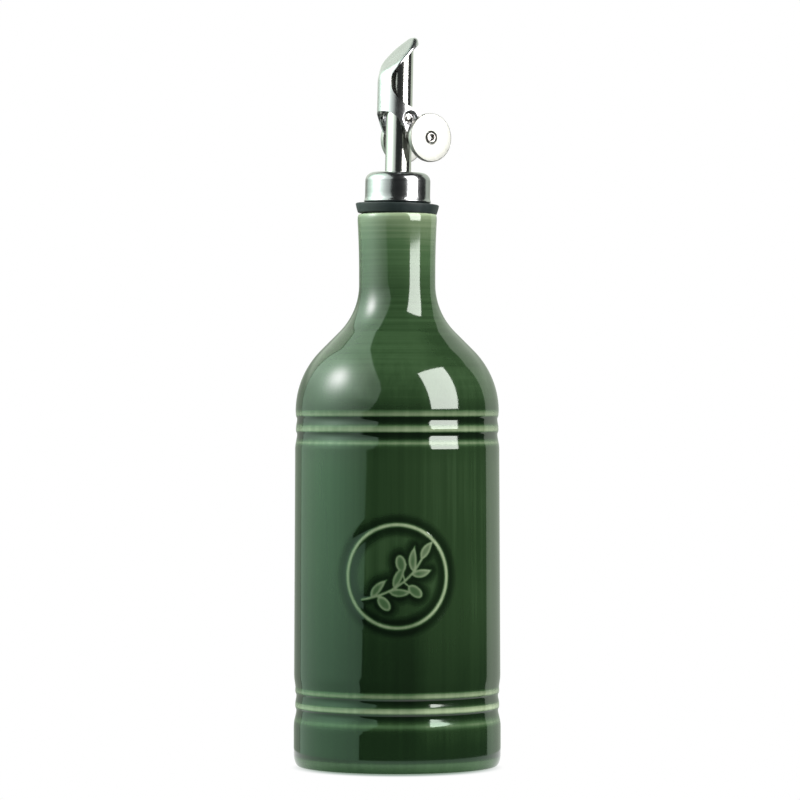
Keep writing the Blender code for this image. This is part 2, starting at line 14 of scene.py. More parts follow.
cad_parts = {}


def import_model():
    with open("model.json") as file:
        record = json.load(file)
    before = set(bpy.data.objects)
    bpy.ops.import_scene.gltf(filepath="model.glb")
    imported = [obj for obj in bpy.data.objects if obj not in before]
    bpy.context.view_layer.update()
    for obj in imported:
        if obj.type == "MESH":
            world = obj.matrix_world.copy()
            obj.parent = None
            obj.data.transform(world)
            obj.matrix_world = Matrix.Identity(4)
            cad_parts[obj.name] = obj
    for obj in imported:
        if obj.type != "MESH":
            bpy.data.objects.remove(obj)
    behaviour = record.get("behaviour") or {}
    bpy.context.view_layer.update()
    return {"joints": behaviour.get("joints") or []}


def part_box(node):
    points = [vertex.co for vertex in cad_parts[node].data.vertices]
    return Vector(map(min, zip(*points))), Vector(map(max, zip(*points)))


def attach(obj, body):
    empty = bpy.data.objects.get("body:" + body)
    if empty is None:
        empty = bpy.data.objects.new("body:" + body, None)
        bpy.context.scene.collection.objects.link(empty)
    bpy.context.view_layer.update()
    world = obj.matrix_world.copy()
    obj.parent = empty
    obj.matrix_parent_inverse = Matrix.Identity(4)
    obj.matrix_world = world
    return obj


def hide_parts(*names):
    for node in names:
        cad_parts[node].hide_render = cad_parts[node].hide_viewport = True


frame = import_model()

MM = 0.001
SHARP_ANGLE = radians(40)

# Camera at the photograph's viewpoint
CAMERA_PLACE = (0.00104, -1.47, 0.1359)
CAMERA_LENS = 177.75

# Places taken from the frame
BOTTLE_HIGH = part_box("bottle")[1]
FLANGE_LOW, FLANGE_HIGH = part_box("rubber_flange")
CAP_LOW, CAP_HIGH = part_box("pourer_cap")
SPOUT_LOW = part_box("spout_tube")[0]
HINGE = frame["joints"][0]
PIVOT = Vector(HINGE["pos_m"])
# Unit vectors of the pourer: ahead where it pours, and sideways along its hinge to the near side
SIDEWAYS = Vector(HINGE["axis"]).normalized()
AHEAD = Vector((-SIDEWAYS.y, SIDEWAYS.x, 0.0))

# The stopper sits in the neck with a slight lean to the right
STOPPER_LEAN = radians(1.15)

# Bottle
RIM_HEIGHT = BOTTLE_HIGH.z
RIM_RADIUS = 14.9 * MM
LIP_INSET = 0.55 * MM
LIP_DROP = 2.2 * MM
LIP_STEPS = 9
NECK_RADIUS = 14.2 * MM
NECK_FLARE_HEIGHT = 183.0 * MM
NECK_ARC = 25.0 * MM
SHOULDER_FOOT_RADIUS = 37.8 * MM
SHOULDER_FOOT_HEIGHT = 131.7 * MM
SHOULDER_ARC = 32.0 * MM
SHOULDER_SLOPE = 45
WALL_TOP_RADIUS = 38.0 * MM
WALL_TOP_HEIGHT = 115.0 * MM
WALL_LOW_HEIGHT = 33.0 * MM
FOOT_RADIUS = BOTTLE_HIGH.x
FOOT_WALL_HEIGHT = 14.5 * MM
FOOT_CORNER_HEIGHT = 4.6 * MM
FOOT_CORNER_INSET = 1.8 * MM
FOOT_CORNER_STEPS = 12
FOOT_RING_WIDTH = 5.0 * MM
FOOT_RECESS_DEPTH = 1.2 * MM
# The foot's bare face: the radius it starts at and how far over the floor it reaches
BARE_RADIUS = 28.0 * MM
BARE_HEIGHT = 0.25 * MM
UPPER_RIDGES = (129.8 * MM, 124.1 * MM)
UPPER_RIDGE_SINK = 0.3 * MM
LOWER_RIDGES = (27.2 * MM, 21.7 * MM)
LOWER_RIDGE_SINK = 0.45 * MM
RIDGE_STEP = 0.42 * MM
# Section of a ridge from the top down: share of its step below the crest, height from its edge
RIDGE_PROFILE = ((0.2, 2.2 * MM), (0.0, 1.0 * MM), (0.15, 0.0), (1.0, -0.5 * MM), (1.0, -1.5 * MM))
RIDGE_RUNOUT = 4.5 * MM
# Runout below a pair of ridges: share of its height, share of the groove's depth that is gone
RUNOUT_PROFILE = ((0.35, 0.38), (0.7, 0.8), (1.0, 1.0))
PROFILE_STEP = 0.05 * MM
PROFILE_LOW = -10.0 * MM
PROFILE_HIGH = 1.0 * MM
GLAZE_ROUNDING = 0.28 * MM

# Emblem
EMBLEM_HEIGHT = 71.9 * MM
DISH_RADIUS = 22.8 * MM
DISH_DEPTH = 0.28 * MM
DISH_EDGE = 2.6 * MM
PILLOW = 0.10 * MM
CREST = 0.08 * MM
CREST_EDGE = (-0.15 * MM, 0.45 * MM)
RELIEF_BLUR = 0.24 * MM
GLAZE_BLUR = 0.16 * MM
RING_RADIUS = 18.75 * MM
RING_HALF_WIDTH = 0.85 * MM
STEM_START = (-13.2 * MM, -8.5 * MM)
STEM_BEND = (2.5 * MM, -6.0 * MM)
STEM_END = (9.0 * MM, 6.2 * MM)
STEM_HALF_WIDTH = 0.5 * MM
STEM_STEPS = 24
# Leaves: place along the stem from 0 to 1, side of it, angle from it in degrees, length
LEAVES = (
    (0.12, 1, 48, 8.8 * MM),
    (0.36, -1, 40, 8.6 * MM),
    (0.44, 1, 46, 10.0 * MM),
    (0.76, -1, 52, 7.6 * MM),
    (0.80, 1, 50, 9.4 * MM),
    (1.00, 1, 8, 8.0 * MM),
)
LEAF_HALF_WIDTH = 1.6 * MM
LEAF_END_WIDTH = 0.16 * MM
LEAF_BEND = radians(14)
LEAF_FULLNESS = 0.8
# Olives: place along the stem, side of it, angle from it in degrees, length of the stalk
OLIVES = ((0.20, -1, 66, 1.2 * MM), (0.60, -1, 78, 3.0 * MM), (0.62, 1, 62, 4.0 * MM))
OLIVE_LENGTH = 5.0 * MM
OLIVE_HALF_WIDTH = 2.0 * MM
STALK_HALF_WIDTH = 0.35 * MM
PATH_STEPS = 14
# Glaze thickness added by depth inside the sprig's outline or the ring's, in millimetres: thin on
# their edges, pooled beside them
SPRIG_GLAZE = (
    (-3.2, 0.0), (-2.0, 0.16), (-0.9, 0.42), (-0.3, 0.46), (-0.02, 0.0),
    (0.12, -0.66), (0.42, -0.70), (0.9, -0.46), (1.6, -0.36),
)
RING_GLAZE = (
    (-3.6, 0.0), (-2.6, 0.16), (-1.6, 0.38), (-0.5, 0.46), (-0.1, 0.12),
    (0.2, -0.46), (0.5, -0.74), (0.85, -0.80),
)
# Thinner glaze on the open field of the dish, from one distance to the relief to another
FIELD_GLAZE = -0.14
FIELD_EDGE = (2.2 * MM, 4.2 * MM)
FIELD_STEP = 0.1 * MM
FIELD_HALF = 26.0 * MM

# Rows of the bottle's mesh between the lip and the foot's corner: from, to, step
EMBLEM_ROWS = 25.0 * MM
ROW_SPANS = (
    (RIM_HEIGHT - LIP_DROP, 179.5 * MM, 1.1 * MM),
    (179.5 * MM, 133.5 * MM, 0.75 * MM),
    (133.5 * MM, 116.5 * MM, 0.14 * MM),
    (116.5 * MM, EMBLEM_HEIGHT + EMBLEM_ROWS, 1.6 * MM),
    (EMBLEM_HEIGHT + EMBLEM_ROWS, EMBLEM_HEIGHT - EMBLEM_ROWS, 0.30 * MM),
    (EMBLEM_HEIGHT - EMBLEM_ROWS, 32.5 * MM, 1.4 * MM),
    (32.5 * MM, 13.5 * MM, 0.15 * MM),
    (13.5 * MM, FOOT_CORNER_HEIGHT, 1.2 * MM),
)
# Columns of the mesh: half the angle of the dense front, its columns and the others
DENSE_ANGLE = radians(37)
DENSE_COLUMNS = 165
OTHER_COLUMNS = 72

# Glaze thickness by height, in millimetres and as a share of the body's: thin towards the lip
GLAZE_BY_HEIGHT = (
    (0.0, 0.74), (3.4, 0.80), (4.1, 1.20), (4.9, 1.50), (6.0, 1.30), (10.0, 1.32), (15.0, 1.30),
    (30.0, 1.36), (37.0, 1.34), (50.0, 1.24), (75.0, 1.10), (100.0, 1.03), (112.0, 1.02),
    (120.0, 1.08), (133.0, 1.16), (137.0, 1.00), (150.0, 0.90), (165.0, 0.95), (175.0, 0.96),
    (187.0, 0.77), (194.5, 0.69), (198.5, 0.61), (201.0, 0.56), (203.5, 0.48), (205.0, 0.18),
)
# Glaze at a ridge: height from its edge in millimetres, and thickness there
RIDGE_GLAZE = (
    (-3.0, 1.25), (-2.3, 1.45), (-1.6, 1.55), (-0.3, 1.55), (0.1, 0.78), (0.5, 0.42), (1.0, 0.40),
)
REACH_GLAZE = 0.62
ABOVE_GLAZE = 1.1
ABOVE_REACH = 0.9
# Pale reach above each ridge's edge and its extra thickness, and the soft pale line below the
# lower groove: its drop from the second edge, its half width and its thickness
UPPER_PALE = ((2.1, 0.08), (2.3, 0.0))
UPPER_LINE = (3.9 * MM, 0.66 * MM, 0.55)
LOWER_PALE = ((1.9, 0.12), (2.0, -0.04))
LOWER_LINE = (4.4 * MM, 0.90 * MM, 0.78)
# Painted light on the right side of the body, as thinner glaze, and painted shade on the right of the
# shoulder, as thicker glaze, both where the softbox falls: sine of the turn, heights where they start
# and end
PAINTED_LIGHT_RIGHT = 0.17
PAINTED_LIGHT_TURNS = (0.12, 0.34)
PAINTED_LIGHT_START = (5.0 * MM, 15.0 * MM)
PAINTED_LIGHT_END = (55.0 * MM, 85.0 * MM)
PAINTED_LIGHT_END_SHARE = 0.75
PAINTED_SHADE_RIGHT = 0.12
PAINTED_SHADE_TURNS = (0.15, 0.6)
PAINTED_SHADE_START = (143.0 * MM, 150.0 * MM)
PAINTED_SHADE_END = (159.0 * MM, 168.0 * MM)
# The painted light and shade lie on the front half only: cosine of the turn over which they fade in
PAINTED_FRONT_TURNS = (-0.7, -0.1)

# Flange and cap
FLANGE_TOP_RADIUS = 15.5 * MM
FLANGE_FOOT_RADIUS = 14.7 * MM
FLANGE_ROUNDING = 0.45 * MM
SAG_SIDE = radians(-12)
SAG_START = 12.2 * MM
SAG_WIDTH = 3.2 * MM
SAG = 0.25 * MM
SAG_WAVE = 0.04 * MM
CAP_RADIUS = 12.1 * MM
CAP_CORNER = 3.2 * MM

# Spout
SPOUT_RADIUS = 4.84 * MM
SPOUT_BORE = 4.2 * MM
SPOUT_EDGE = 0.1 * MM
SPOUT_SEGMENTS = 96
MOUTH_HEIGHT = 263.6 * MM
MOUTH_SLOPE = 1.07
# Outline of a rivet from the top of its dome: radius and distance from the flap's middle plane
RIVET_PROFILE = (
    (0.05, 7.0), (0.5, 6.98), (0.95, 6.88), (1.35, 6.67), (1.58, 6.4), (1.6, 6.3), (0.9, 6.28),
    (0.9, 5.25), (0.05, 5.25),
)

# Flap
FLAP_RADIUS = 7.7 * MM
FLAP_THICKNESS = 0.55 * MM
FLAP_SOFTENING = 0.09 * MM
BACK_RISE = 0.5 * MM
BACK_ARC = 6.16 * MM
COVER_LEAN = radians(43.5)
COVER_STRAIGHT = 15.7 * MM
TIP_ARC = 1.3 * MM
COVER_FOOT = 13.7 * MM
COVER_FOOT_ANGLE = 32
# Cover: distance along the ridge, the rim's reach, height over the pivot and half width, all
# in millimetres, the angle of the section in degrees, and how square it is (2 is round)
COVER_STATIONS = (
    (0.0, -6.53, 13.7, 4.08, 32, 2.0),
    (1.4, -6.3, 15.2, 4.2, 34, 2.0),
    (3.2, -5.65, 16.9, 4.45, 40, 2.2),
    (5.2, -4.9, 18.2, 5.1, 55, 2.8),
    (7.4, -4.1, 19.6, 5.6, 72, 3.8),
    (10.2, -2.5, 21.6, 5.9, 90, 5.0),
    (13.4, -0.2, 23.8, 5.8, 90, 5.0),
    (16.2, 1.9, 25.7, 5.4, 90, 5.0),
    (18.4, 3.7, 26.9, 4.5, 90, 4.4),
    (20.2, 5.0, 27.7, 3.4, 90, 4.0),
    (21.7, 5.9, 28.2, 2.2, 90, 3.2),
    (22.6, 6.3, 28.35, 1.2, 90, 2.6),
    (23.3, 6.45, 28.4, 0.5, 90, 2.2),
)
COVER_COLUMNS = 18
COVER_ROWS = 66
# Upper rim of the sheet and lower edge, in millimetres: distance round from the back, height
UPPER_RIM = (
    (4.30, 13.7), (4.80, 11.2), (5.95, 9.0), (8.0, 6.9), (10.2, 5.15), (12.5, 4.0), (14.9, 3.13),
)
LOWER_EDGE = ((10.2, -4.5), (8.9, -2.3), (7.2, 0.2), (4.9, 1.9), (2.5, 2.6), (0.0, 2.7))
EDGE_STEPS = 60
EAR_STEPS = 48
EAR_PIVOT_RADIUS = 4.2 * MM
EAR_AXLE_RADIUS = 4.7 * MM
SHEET_STEP = 0.28 * MM
DIMPLE_RADIUS = 3.0 * MM
DIMPLE_FLOOR_RADIUS = 2.0 * MM
DIMPLE_DEPTH = 1.7 * MM
# Angles round the back between which the dimple starts to press the sheet in, in radians
DIMPLE_TURNS = (0.6, 1.0)
# Circles of points in the dimple, and the distances to the holes that other points keep
DIMPLE_CIRCLES = (1.5, 1.8, 2.0, 2.2, 2.4, 2.6, 2.8, 3.0, 3.25)
DIMPLE_CLEAR = 3.4 * MM
AXLE_CLEAR = 2.45 * MM
PIVOT_HOLE_RADIUS = 1.2 * MM
AXLE_HOLE_RADIUS = 2.2 * MM

# Weights and axle
AXLE_REACH = 7.6 * MM
AXLE_DROP = 6.8 * MM
AXLE_RADIUS = 1.9 * MM
AXLE_BORE = 1.1 * MM
AXLE_HALF_LENGTH = 10.8 * MM
WEIGHT_RADIUS = 9.0 * MM
WEIGHT_HOLE = 2.4 * MM
WEIGHT_INNER = 8.5 * MM
WEIGHT_OUTER = 10.5 * MM
WEIGHT_EASE = 0.22 * MM
WEIGHT_ROUNDING = 0.35 * MM

# Glaze: colour by its thickness, over this full thickness
FULL_GLAZE = 1.6
GLAZE_COLOURS = (
    (0.0000, (0.45, 0.53, 0.38)),
    (0.1375, (0.265, 0.335, 0.205)),
    (0.2800, (0.137, 0.184, 0.106)),
    (0.4375, (0.0440, 0.0858, 0.0370)),
    (0.6250, (0.0158, 0.0360, 0.0130)),
    (0.7800, (0.0075, 0.0190, 0.0065)),
    (1.0000, (0.0022, 0.0060, 0.0022)),
)
GLAZE_IOR = 1.58
GLAZE_ROUGHNESS = (0.045, 0.085)
# Throwing marks round the neck, runs down the body and clouds: how the noise is stretched, and
# how much it changes the thickness
NECK_MARKS = ((14.0, 14.0, 900.0), 0.34)
BODY_RUNS = ((420.0, 420.0, 10.0), 0.30)
CLOUDS = ((28.0, 28.0, 20.0), 0.16)
NECK_START = (0.125, 0.165)
GLAZE_WAVES = (240.0, 240.0, 160.0)
# Painted green tint of the reflections on the body's front left and on the foot, set by place: where it
# starts and where it is full, by height, across and in depth
PAINTED_TINT_HEIGHTS = (0.108, 0.145)
PAINTED_TINT_ACROSS = (0.004, -0.008)
PAINTED_TINT_DEPTH = (0.032, 0.016)
FOOT_PAINTED_TINT_HEIGHTS = (0.024, 0.012)
FOOT_PAINTED_TINT = 0.9
PAINTED_TINT_COLOURS = ((0.0, (0.93, 1.0, 0.93)), (1.0, (0.62, 1.0, 0.73)))

# Steels: colour, darker colour in the marks, roughness, stretch of the marks, bump
CAP_STEEL = ((0.385, 0.39, 0.395), (0.34, 0.345, 0.35), (0.15, 0.22), (25.0, 25.0, 1500.0), 0.03)
SPOUT_STEEL = ((0.56, 0.56, 0.54), (0.46, 0.46, 0.43), (0.14, 0.18), (700.0, 700.0, 20.0), 0.0)
RIVET_STEEL = ((0.50, 0.48, 0.46), (0.38, 0.36, 0.34), (0.18, 0.30), (500.0, 500.0, 500.0), 0.10)
FLAP_STEEL = ((0.505, 0.505, 0.515), (0.44, 0.44, 0.45), (0.20, 0.29), (220.0, 220.0, 60.0), 0.01)
WEIGHT_STEEL = ((0.285, 0.285, 0.27), (0.225, 0.225, 0.205), (0.34, 0.46), (420.0, 420.0, 420.0), 0.10)
AXLE_STEEL = ((0.52, 0.50, 0.48), (0.42, 0.40, 0.38), (0.15, 0.28), (600.0, 600.0, 600.0), 0.08)

# Studio: dim surroundings
WORLD_LIGHT = 0.035
WORLD_COLOUR = (0.9, 1.0, 1.0)

# Left panel: its corners in depth and height
PANEL_X = -0.50
PANEL_CORNERS = (
    (-0.54, -0.45), (-0.56, -0.05), (-0.63, 0.0), (-0.67, 0.06), (-0.74, 0.10), (-0.83, 0.16),
    (-0.92, 0.215), (-1.03, 0.31), (-1.19, 0.45), (-1.43, 0.90), (-1.22, 1.15), (-0.76, 1.24),
    (-0.40, 1.33), (0.02, 1.52), (0.50, 1.54), (0.50, -0.45),
)
# Its colour by depth, and its light: dimmer to the front, and brighter above
PANEL_DEPTHS = (-0.45, 0.05)
PANEL_FRONT_COLOUR = (0.90, 1.0, 0.94)
PANEL_BACK_COLOUR = (0.79, 1.0, 0.85)
PANEL_FADE = (-1.0, -0.35, 0.62, 1.0)
PANEL_RISE = (0.24, 0.46, 1.0, 1.9)
# The lamp's glow through it
HOT_PLACE = (PANEL_X, -0.07, 0.475)
HOT_WIDTH = 0.095
HOT_LIGHT = 8.6
HOT_COLOUR = (1.18, 1.0, 1.16, 1.0)
GLOW_WIDTH = 0.22
GLOW_LIGHT = 3.4

SOFTBOX_CORNERS = (
    (0.617, -0.774, 0.18), (0.939, -0.316, 0.18), (0.689, -0.141, 0.94), (0.367, -0.599, 0.94),
)
SOFTBOX_LIGHT = 12.0
SOFTBOX_COLOUR = (1.0, 1.0, 0.98)

# Dark card between the softbox and the foot of the bottle: low down, a quarter of a metre away
CARD_CORNERS = (
    (0.140, -0.207, 0.050), (0.243, -0.060, 0.050), (0.243, -0.060, 0.0905), (0.140, -0.207, 0.0765),
)

BACKDROP_Y = 0.51
BACKDROP_HEIGHTS = (-0.45, 0.90)
BACKDROP_LIGHT = 0.95
BACKDROP_COLOUR = (0.90, 1.0, 0.86)
# Its light by the place across, as a share of the full light
BACKDROP_SHARES = (
    (-0.49, 0.62), (-0.32, 0.50), (0.0, 0.50), (0.18, 0.62), (0.40, 0.74), (0.65, 1.0), (0.965, 1.0),
)
# Above the bottle's shoulder: the places across from which its light goes from one value to
# another, and the heights between which this takes over
BACKDROP_ABOVE = (-0.15, 0.20, 1.25, 0.95)
BACKDROP_RISE = (0.24, 0.36)

FLOOR_RADIUS = 0.085
FLOOR_DROP = 0.05 * MM
FLOOR_CORNERS = 64
# Painted contact shadow on the floor: its colour, the centre it is drawn round, and where it fades out
PAINTED_CONTACT_SHADOW = (0.31, 0.40, 0.345)
CONTACT_SHADOW_CENTRE = (0.0, -0.008, 0.0)
CONTACT_SHADOW_REACH = (0.030, 0.040)


# Meshes


def grid_faces(rows, columns, closed):
    """Quads of a grid whose columns may close on themselves."""
    faces = []
    last = columns if closed else columns - 1
    for row in range(rows - 1):
        for column in range(last):
            a = row * columns + column
            b = row * columns + (column + 1) % columns
            faces.append((a, b, b + columns, a + columns))
    return faces


def linked(name, mesh):
    """An object of a mesh, in the scene."""
    item = bpy.data.objects.new(name, mesh)
    bpy.context.scene.collection.objects.link(item)
    return item


def mesh_object(name, vertices, faces, body, material):
    """An object that rides on a body, shaded smooth except over sharp edges."""
    mesh = bpy.data.meshes.new(name)
    mesh.from_pydata([tuple(v) for v in vertices], [], faces)
    mesh.update()
    bm = bmesh.new()
    bm.from_mesh(mesh)
    bmesh.ops.remove_doubles(bm, verts=bm.verts, dist=1e-7)
    bmesh.ops.recalc_face_normals(bm, faces=bm.faces)
    bm.to_mesh(mesh)
    bm.free()
    mesh.shade_smooth()
    mesh.set_sharp_from_angle(angle=SHARP_ANGLE)
    mesh.materials.append(material)
    item = linked(name, mesh)
    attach(item, body)
    return item


def turned_points(profile, segments):
    """Rows of points for a profile of (radius, height) turned about Z."""
    angles = np.arange(segments) * 2 * pi / segments
    rows = [
        np.stack([r * np.cos(angles), r * np.sin(angles), np.full(segments, z)], 1)
        for r, z in profile
    ]
    return np.concatenate(rows)


def arc(centre, radius, start, end, steps):
    """Points along an arc, both ends included, with angles in degrees."""
    angles = [radians(start + (end - start) * i / steps) for i in range(steps + 1)]
    return [(centre[0] + radius * cos(a), centre[1] + radius * sin(a)) for a in angles]


def turned(name, profile, segments, body, material, place):
    """A turned piece. Place moves its points from the piece's own axis to the frame."""
    points = [place(Vector(p)) for p in turned_points(profile, segments)]
    return mesh_object(name, points, grid_faces(len(profile), segments, True), body, material)


def leaned(point):
    """Leans a point of the stopper to the right about the middle of its seat."""
    rise = point.z - FLANGE_LOW.z
    x = point.x * cos(STOPPER_LEAN) + rise * sin(STOPPER_LEAN)
    z = rise * cos(STOPPER_LEAN) - point.x * sin(STOPPER_LEAN)
    return Vector((x, point.y, FLANGE_LOW.z + z))


def from_pourer(point):
    """Takes a point of the pourer (ahead, sideways, up) from its pivot into the frame."""
    return leaned(PIVOT + AHEAD * point[0] + SIDEWAYS * point[1] + Vector((0.0, 0.0, point[2])))


def across(side, reach, height):
    """Placer for a piece turned about +Z that points sideways from the flap's middle plane."""
    def place(p):
        return from_pourer((reach + p.x, side * p.z, height + p.y))
    return place


def smooth_curve(stations, samples):
    """Catmull-Rom curve through rows of numbers, read at a number of even steps."""
    data = np.array(stations, float)
    data = np.vstack([2 * data[0] - data[1], data, 2 * data[-1] - data[-2]])
    spans = len(stations) - 1
    read = []
    for sample in range(samples + 1):
        at = min(sample / samples * spans, spans - 1e-9)
        span, t = int(at), at - int(at)
        before, start, end, after = data[span : span + 4]
        slope = end - before
        curve = 2 * before - 5 * start + 4 * end - after
        twist = 3 * start - before - 3 * end + after
        read.append(0.5 * (2 * start + slope * t + curve * t**2 + twist * t**3))
    return np.array(read)


def blurred(values, sigma, step, axis=0):
    """Gaussian blur along one axis, with the ends held."""
    reach = max(int(4 * sigma / step), 1)
    weights = np.exp(-0.5 * (np.arange(-reach, reach + 1) * step / sigma) ** 2)
    weights /= weights.sum()
    margins = [(reach, reach) if a == axis else (0, 0) for a in range(values.ndim)]
    padded = np.pad(values, margins, mode="edge")
    return np.apply_along_axis(lambda line: np.convolve(line, weights, mode="valid"), axis, padded)


def blurred_twice(values, sigma):
    """Blur of the emblem's grid along both of its axes."""
    return blurred(blurred(values, sigma, FIELD_STEP, 0), sigma, FIELD_STEP, 1)


def smoothstep(values, low, high):
    """Smooth rise from 0 at low to 1 at high."""
    share = np.clip((values - low) / (high - low), 0.0, 1.0)
    return share * share * (3 - 2 * share)


# Bottle


def wall_radius(height):
    """Radius of the plain body, which widens a little towards the foot."""
    share = np.clip((WALL_TOP_HEIGHT - height) / (WALL_TOP_HEIGHT - FOOT_CORNER_HEIGHT), 0.0, 1.0)
    return WALL_TOP_RADIUS + (FOOT_RADIUS - WALL_TOP_RADIUS) * share


def ridge_points(edges, sink):
    """Profile of a pair of ridges, each with a slow rise to its crest and a sharp step below."""
    points = []
    for edge in edges:
        crest = float(wall_radius(edge)) - sink
        points += [(crest - share * RIDGE_STEP, edge + rise) for share, rise in RIDGE_PROFILE]
    groove, start = points[-1]
    for down, share in RUNOUT_PROFILE:
        height = start - down * RIDGE_RUNOUT
        points.append((groove + share * (float(wall_radius(height)) - groove), height))
    return points


def shoulder_points():
    """Concave run out of the neck and convex shoulder, from the top down."""
    slope = radians(SHOULDER_SLOPE)
    centre = (SHOULDER_FOOT_RADIUS - SHOULDER_ARC, SHOULDER_FOOT_HEIGHT)
    slope_radius = centre[0] + SHOULDER_ARC * cos(slope)
    slope_height = centre[1] + SHOULDER_ARC * sin(slope)
    slope_top_radius = NECK_RADIUS + NECK_ARC * (1 - cos(slope))
    neck_height = slope_height + slope_radius - slope_top_radius + NECK_ARC * sin(slope)
    neck = arc((NECK_RADIUS + NECK_ARC, neck_height), NECK_ARC, 180, 180 + SHOULDER_SLOPE, 24)
    return neck + arc(centre, SHOULDER_ARC, SHOULDER_SLOPE, 0, 40)


def outer_points():
    """Outer profile between the lip and the foot's corner, from the top down."""
    flare = []
    for share in np.linspace(1.0, 0.05, 14):
        height = NECK_FLARE_HEIGHT + share * (RIM_HEIGHT - NECK_FLARE_HEIGHT)
        flare.append((NECK_RADIUS + (RIM_RADIUS - NECK_RADIUS) * share**2, height))
    upper = ridge_points(UPPER_RIDGES, UPPER_RIDGE_SINK)[1:]
    body = [(float(wall_radius(h)), h) for h in np.linspace(WALL_TOP_HEIGHT, WALL_LOW_HEIGHT, 40)]
    lower = ridge_points(LOWER_RIDGES, LOWER_RIDGE_SINK)
    foot = [(FOOT_RADIUS, h) for h in (FOOT_WALL_HEIGHT, 0.0, PROFILE_LOW)]
    return flare + shoulder_points() + upper + body + lower + foot


def outer_profile():
    """Heights and the radii there, softened by the glaze."""
    points = sorted((z, r) for r, z in outer_points())
    heights = np.arange(PROFILE_LOW, RIM_HEIGHT + PROFILE_HIGH, PROFILE_STEP)
    radii = np.interp(heights, [p[0] for p in points], [p[1] for p in points])
    return heights, blurred(radii, GLAZE_ROUNDING, PROFILE_STEP)


PROFILE = outer_profile()


def stem_point(share):
    """Point of the sprig's stem, a curve from its start through a bend to its end."""
    return tuple(
        (1 - share) ** 2 * a + 2 * share * (1 - share) * b + share**2 * c
        for a, b, c in zip(STEM_START, STEM_BEND, STEM_END)
    )


def stem_direction(share):
    """Angle of the stem at a place along it."""
    ahead, behind = stem_point(share + 0.01), stem_point(share - 0.01)
    return atan2(ahead[1] - behind[1], ahead[0] - behind[0])


def leaf_path(place, side, degrees, length):
    """Points and half widths of a slim pointed leaf."""
    x, z = stem_point(place)
    angle = stem_direction(place) + side * radians(degrees)
    path = []
    for i in range(PATH_STEPS + 1):
        share = i / PATH_STEPS
        bend = angle - side * LEAF_BEND * share
        width = max(LEAF_HALF_WIDTH * sin(pi * share**LEAF_FULLNESS), LEAF_END_WIDTH)
        path.append((x + share * length * cos(bend), z + share * length * sin(bend), width))
    return path


def olive_path(place, side, degrees, stalk):
    """Points and half widths of an olive on its stalk."""
    x, z = stem_point(place)
    angle = stem_direction(place) + side * radians(degrees)
    path = [(x, z, STALK_HALF_WIDTH)]
    for i in range(PATH_STEPS + 1):
        turn = pi * i / PATH_STEPS
        reach = stalk + OLIVE_LENGTH * (1 - cos(turn)) / 2
        width = max(OLIVE_HALF_WIDTH * sin(turn), STALK_HALF_WIDTH)
        path.append((x + reach * cos(angle), z + reach * sin(angle), width))
    return path


def strip_mask(across_grid, up_grid, path):
    """Signed depth inside a strip of varying width: positive inside, in metres."""
    inside = np.full(across_grid.shape, -1.0)
    for (x0, z0, w0), (x1, z1, w1) in zip(path, path[1:]):
        dx, dz = x1 - x0, z1 - z0
        along = np.clip(((across_grid - x0) * dx + (up_grid - z0) * dz) / (dx * dx + dz * dz), 0.0, 1.0)
        gap = np.hypot(across_grid - x0 - along * dx, up_grid - z0 - along * dz)
        inside = np.maximum(inside, w0 + (w1 - w0) * along - gap)
    return inside


def sprig_mask(across_grid, up_grid):
    """Signed depth inside the sprig: its stem, leaves and olives."""
    stem = [(*stem_point(i / STEM_STEPS), STEM_HALF_WIDTH) for i in range(STEM_STEPS + 1)]
    paths = [stem] + [leaf_path(*v) for v in LEAVES] + [olive_path(*v) for v in OLIVES]
    return np.maximum.reduce([strip_mask(across_grid, up_grid, path) for path in paths])


def emblem_field():
    """Relief of the emblem and pooling of the glaze in it, on a square grid of the flat front."""
    line = np.arange(-FIELD_HALF, FIELD_HALF + FIELD_STEP, FIELD_STEP)
    across_grid, up_grid = np.meshgrid(line, line, indexing="ij")
    distance = np.hypot(across_grid, up_grid)
    sprig = sprig_mask(across_grid, up_grid)
    ring = RING_HALF_WIDTH - np.abs(distance - RING_RADIUS)
    inside = np.maximum(sprig, ring)
    raised = blurred_twice(CREST * smoothstep(inside, *CREST_EDGE), RELIEF_BLUR)
    dish_edge = smoothstep(distance, DISH_RADIUS - DISH_EDGE, DISH_RADIUS + 0.4 * DISH_EDGE)
    pillow = PILLOW * np.clip(1 - (distance / RING_RADIUS) ** 2, 0.0, 1.0)
    relief = raised - DISH_DEPTH * (1 - dish_edge) + pillow
    sprig_glaze = np.interp(sprig / MM, *zip(*SPRIG_GLAZE))
    ring_glaze = np.interp(ring / MM, *zip(*RING_GLAZE))
    thin, thick = np.minimum(sprig_glaze, ring_glaze), np.maximum(sprig_glaze, ring_glaze)
    open_field = smoothstep(-inside, *FIELD_EDGE) * (distance < RING_RADIUS)
    pooling = blurred_twice(np.where(inside > 0, thin, thick) + FIELD_GLAZE * open_field, GLAZE_BLUR)
    return line, relief, pooling


FIELD_LINE, FIELD_RELIEF, FIELD_POOLING = emblem_field()


def read_field(values, across_wall, up_wall):
    """Reads the emblem's grid between its points, zero outside it."""
    last = len(FIELD_LINE) - 1
    u = (across_wall - FIELD_LINE[0]) / FIELD_STEP
    v = (up_wall - FIELD_LINE[0]) / FIELD_STEP
    valid = (u >= 0) & (v >= 0) & (u < last) & (v < last)
    u, v = np.clip(u, 0, last - 0.001), np.clip(v, 0, last - 0.001)
    i, j = u.astype(int), v.astype(int)
    fu, fv = u - i, v - j
    read = (
        values[i, j] * (1 - fu) * (1 - fv)
        + values[i + 1, j] * fu * (1 - fv)
        + values[i, j + 1] * (1 - fu) * fv
        + values[i + 1, j + 1] * fu * fv
    )
    return np.where(valid, read, 0.0)


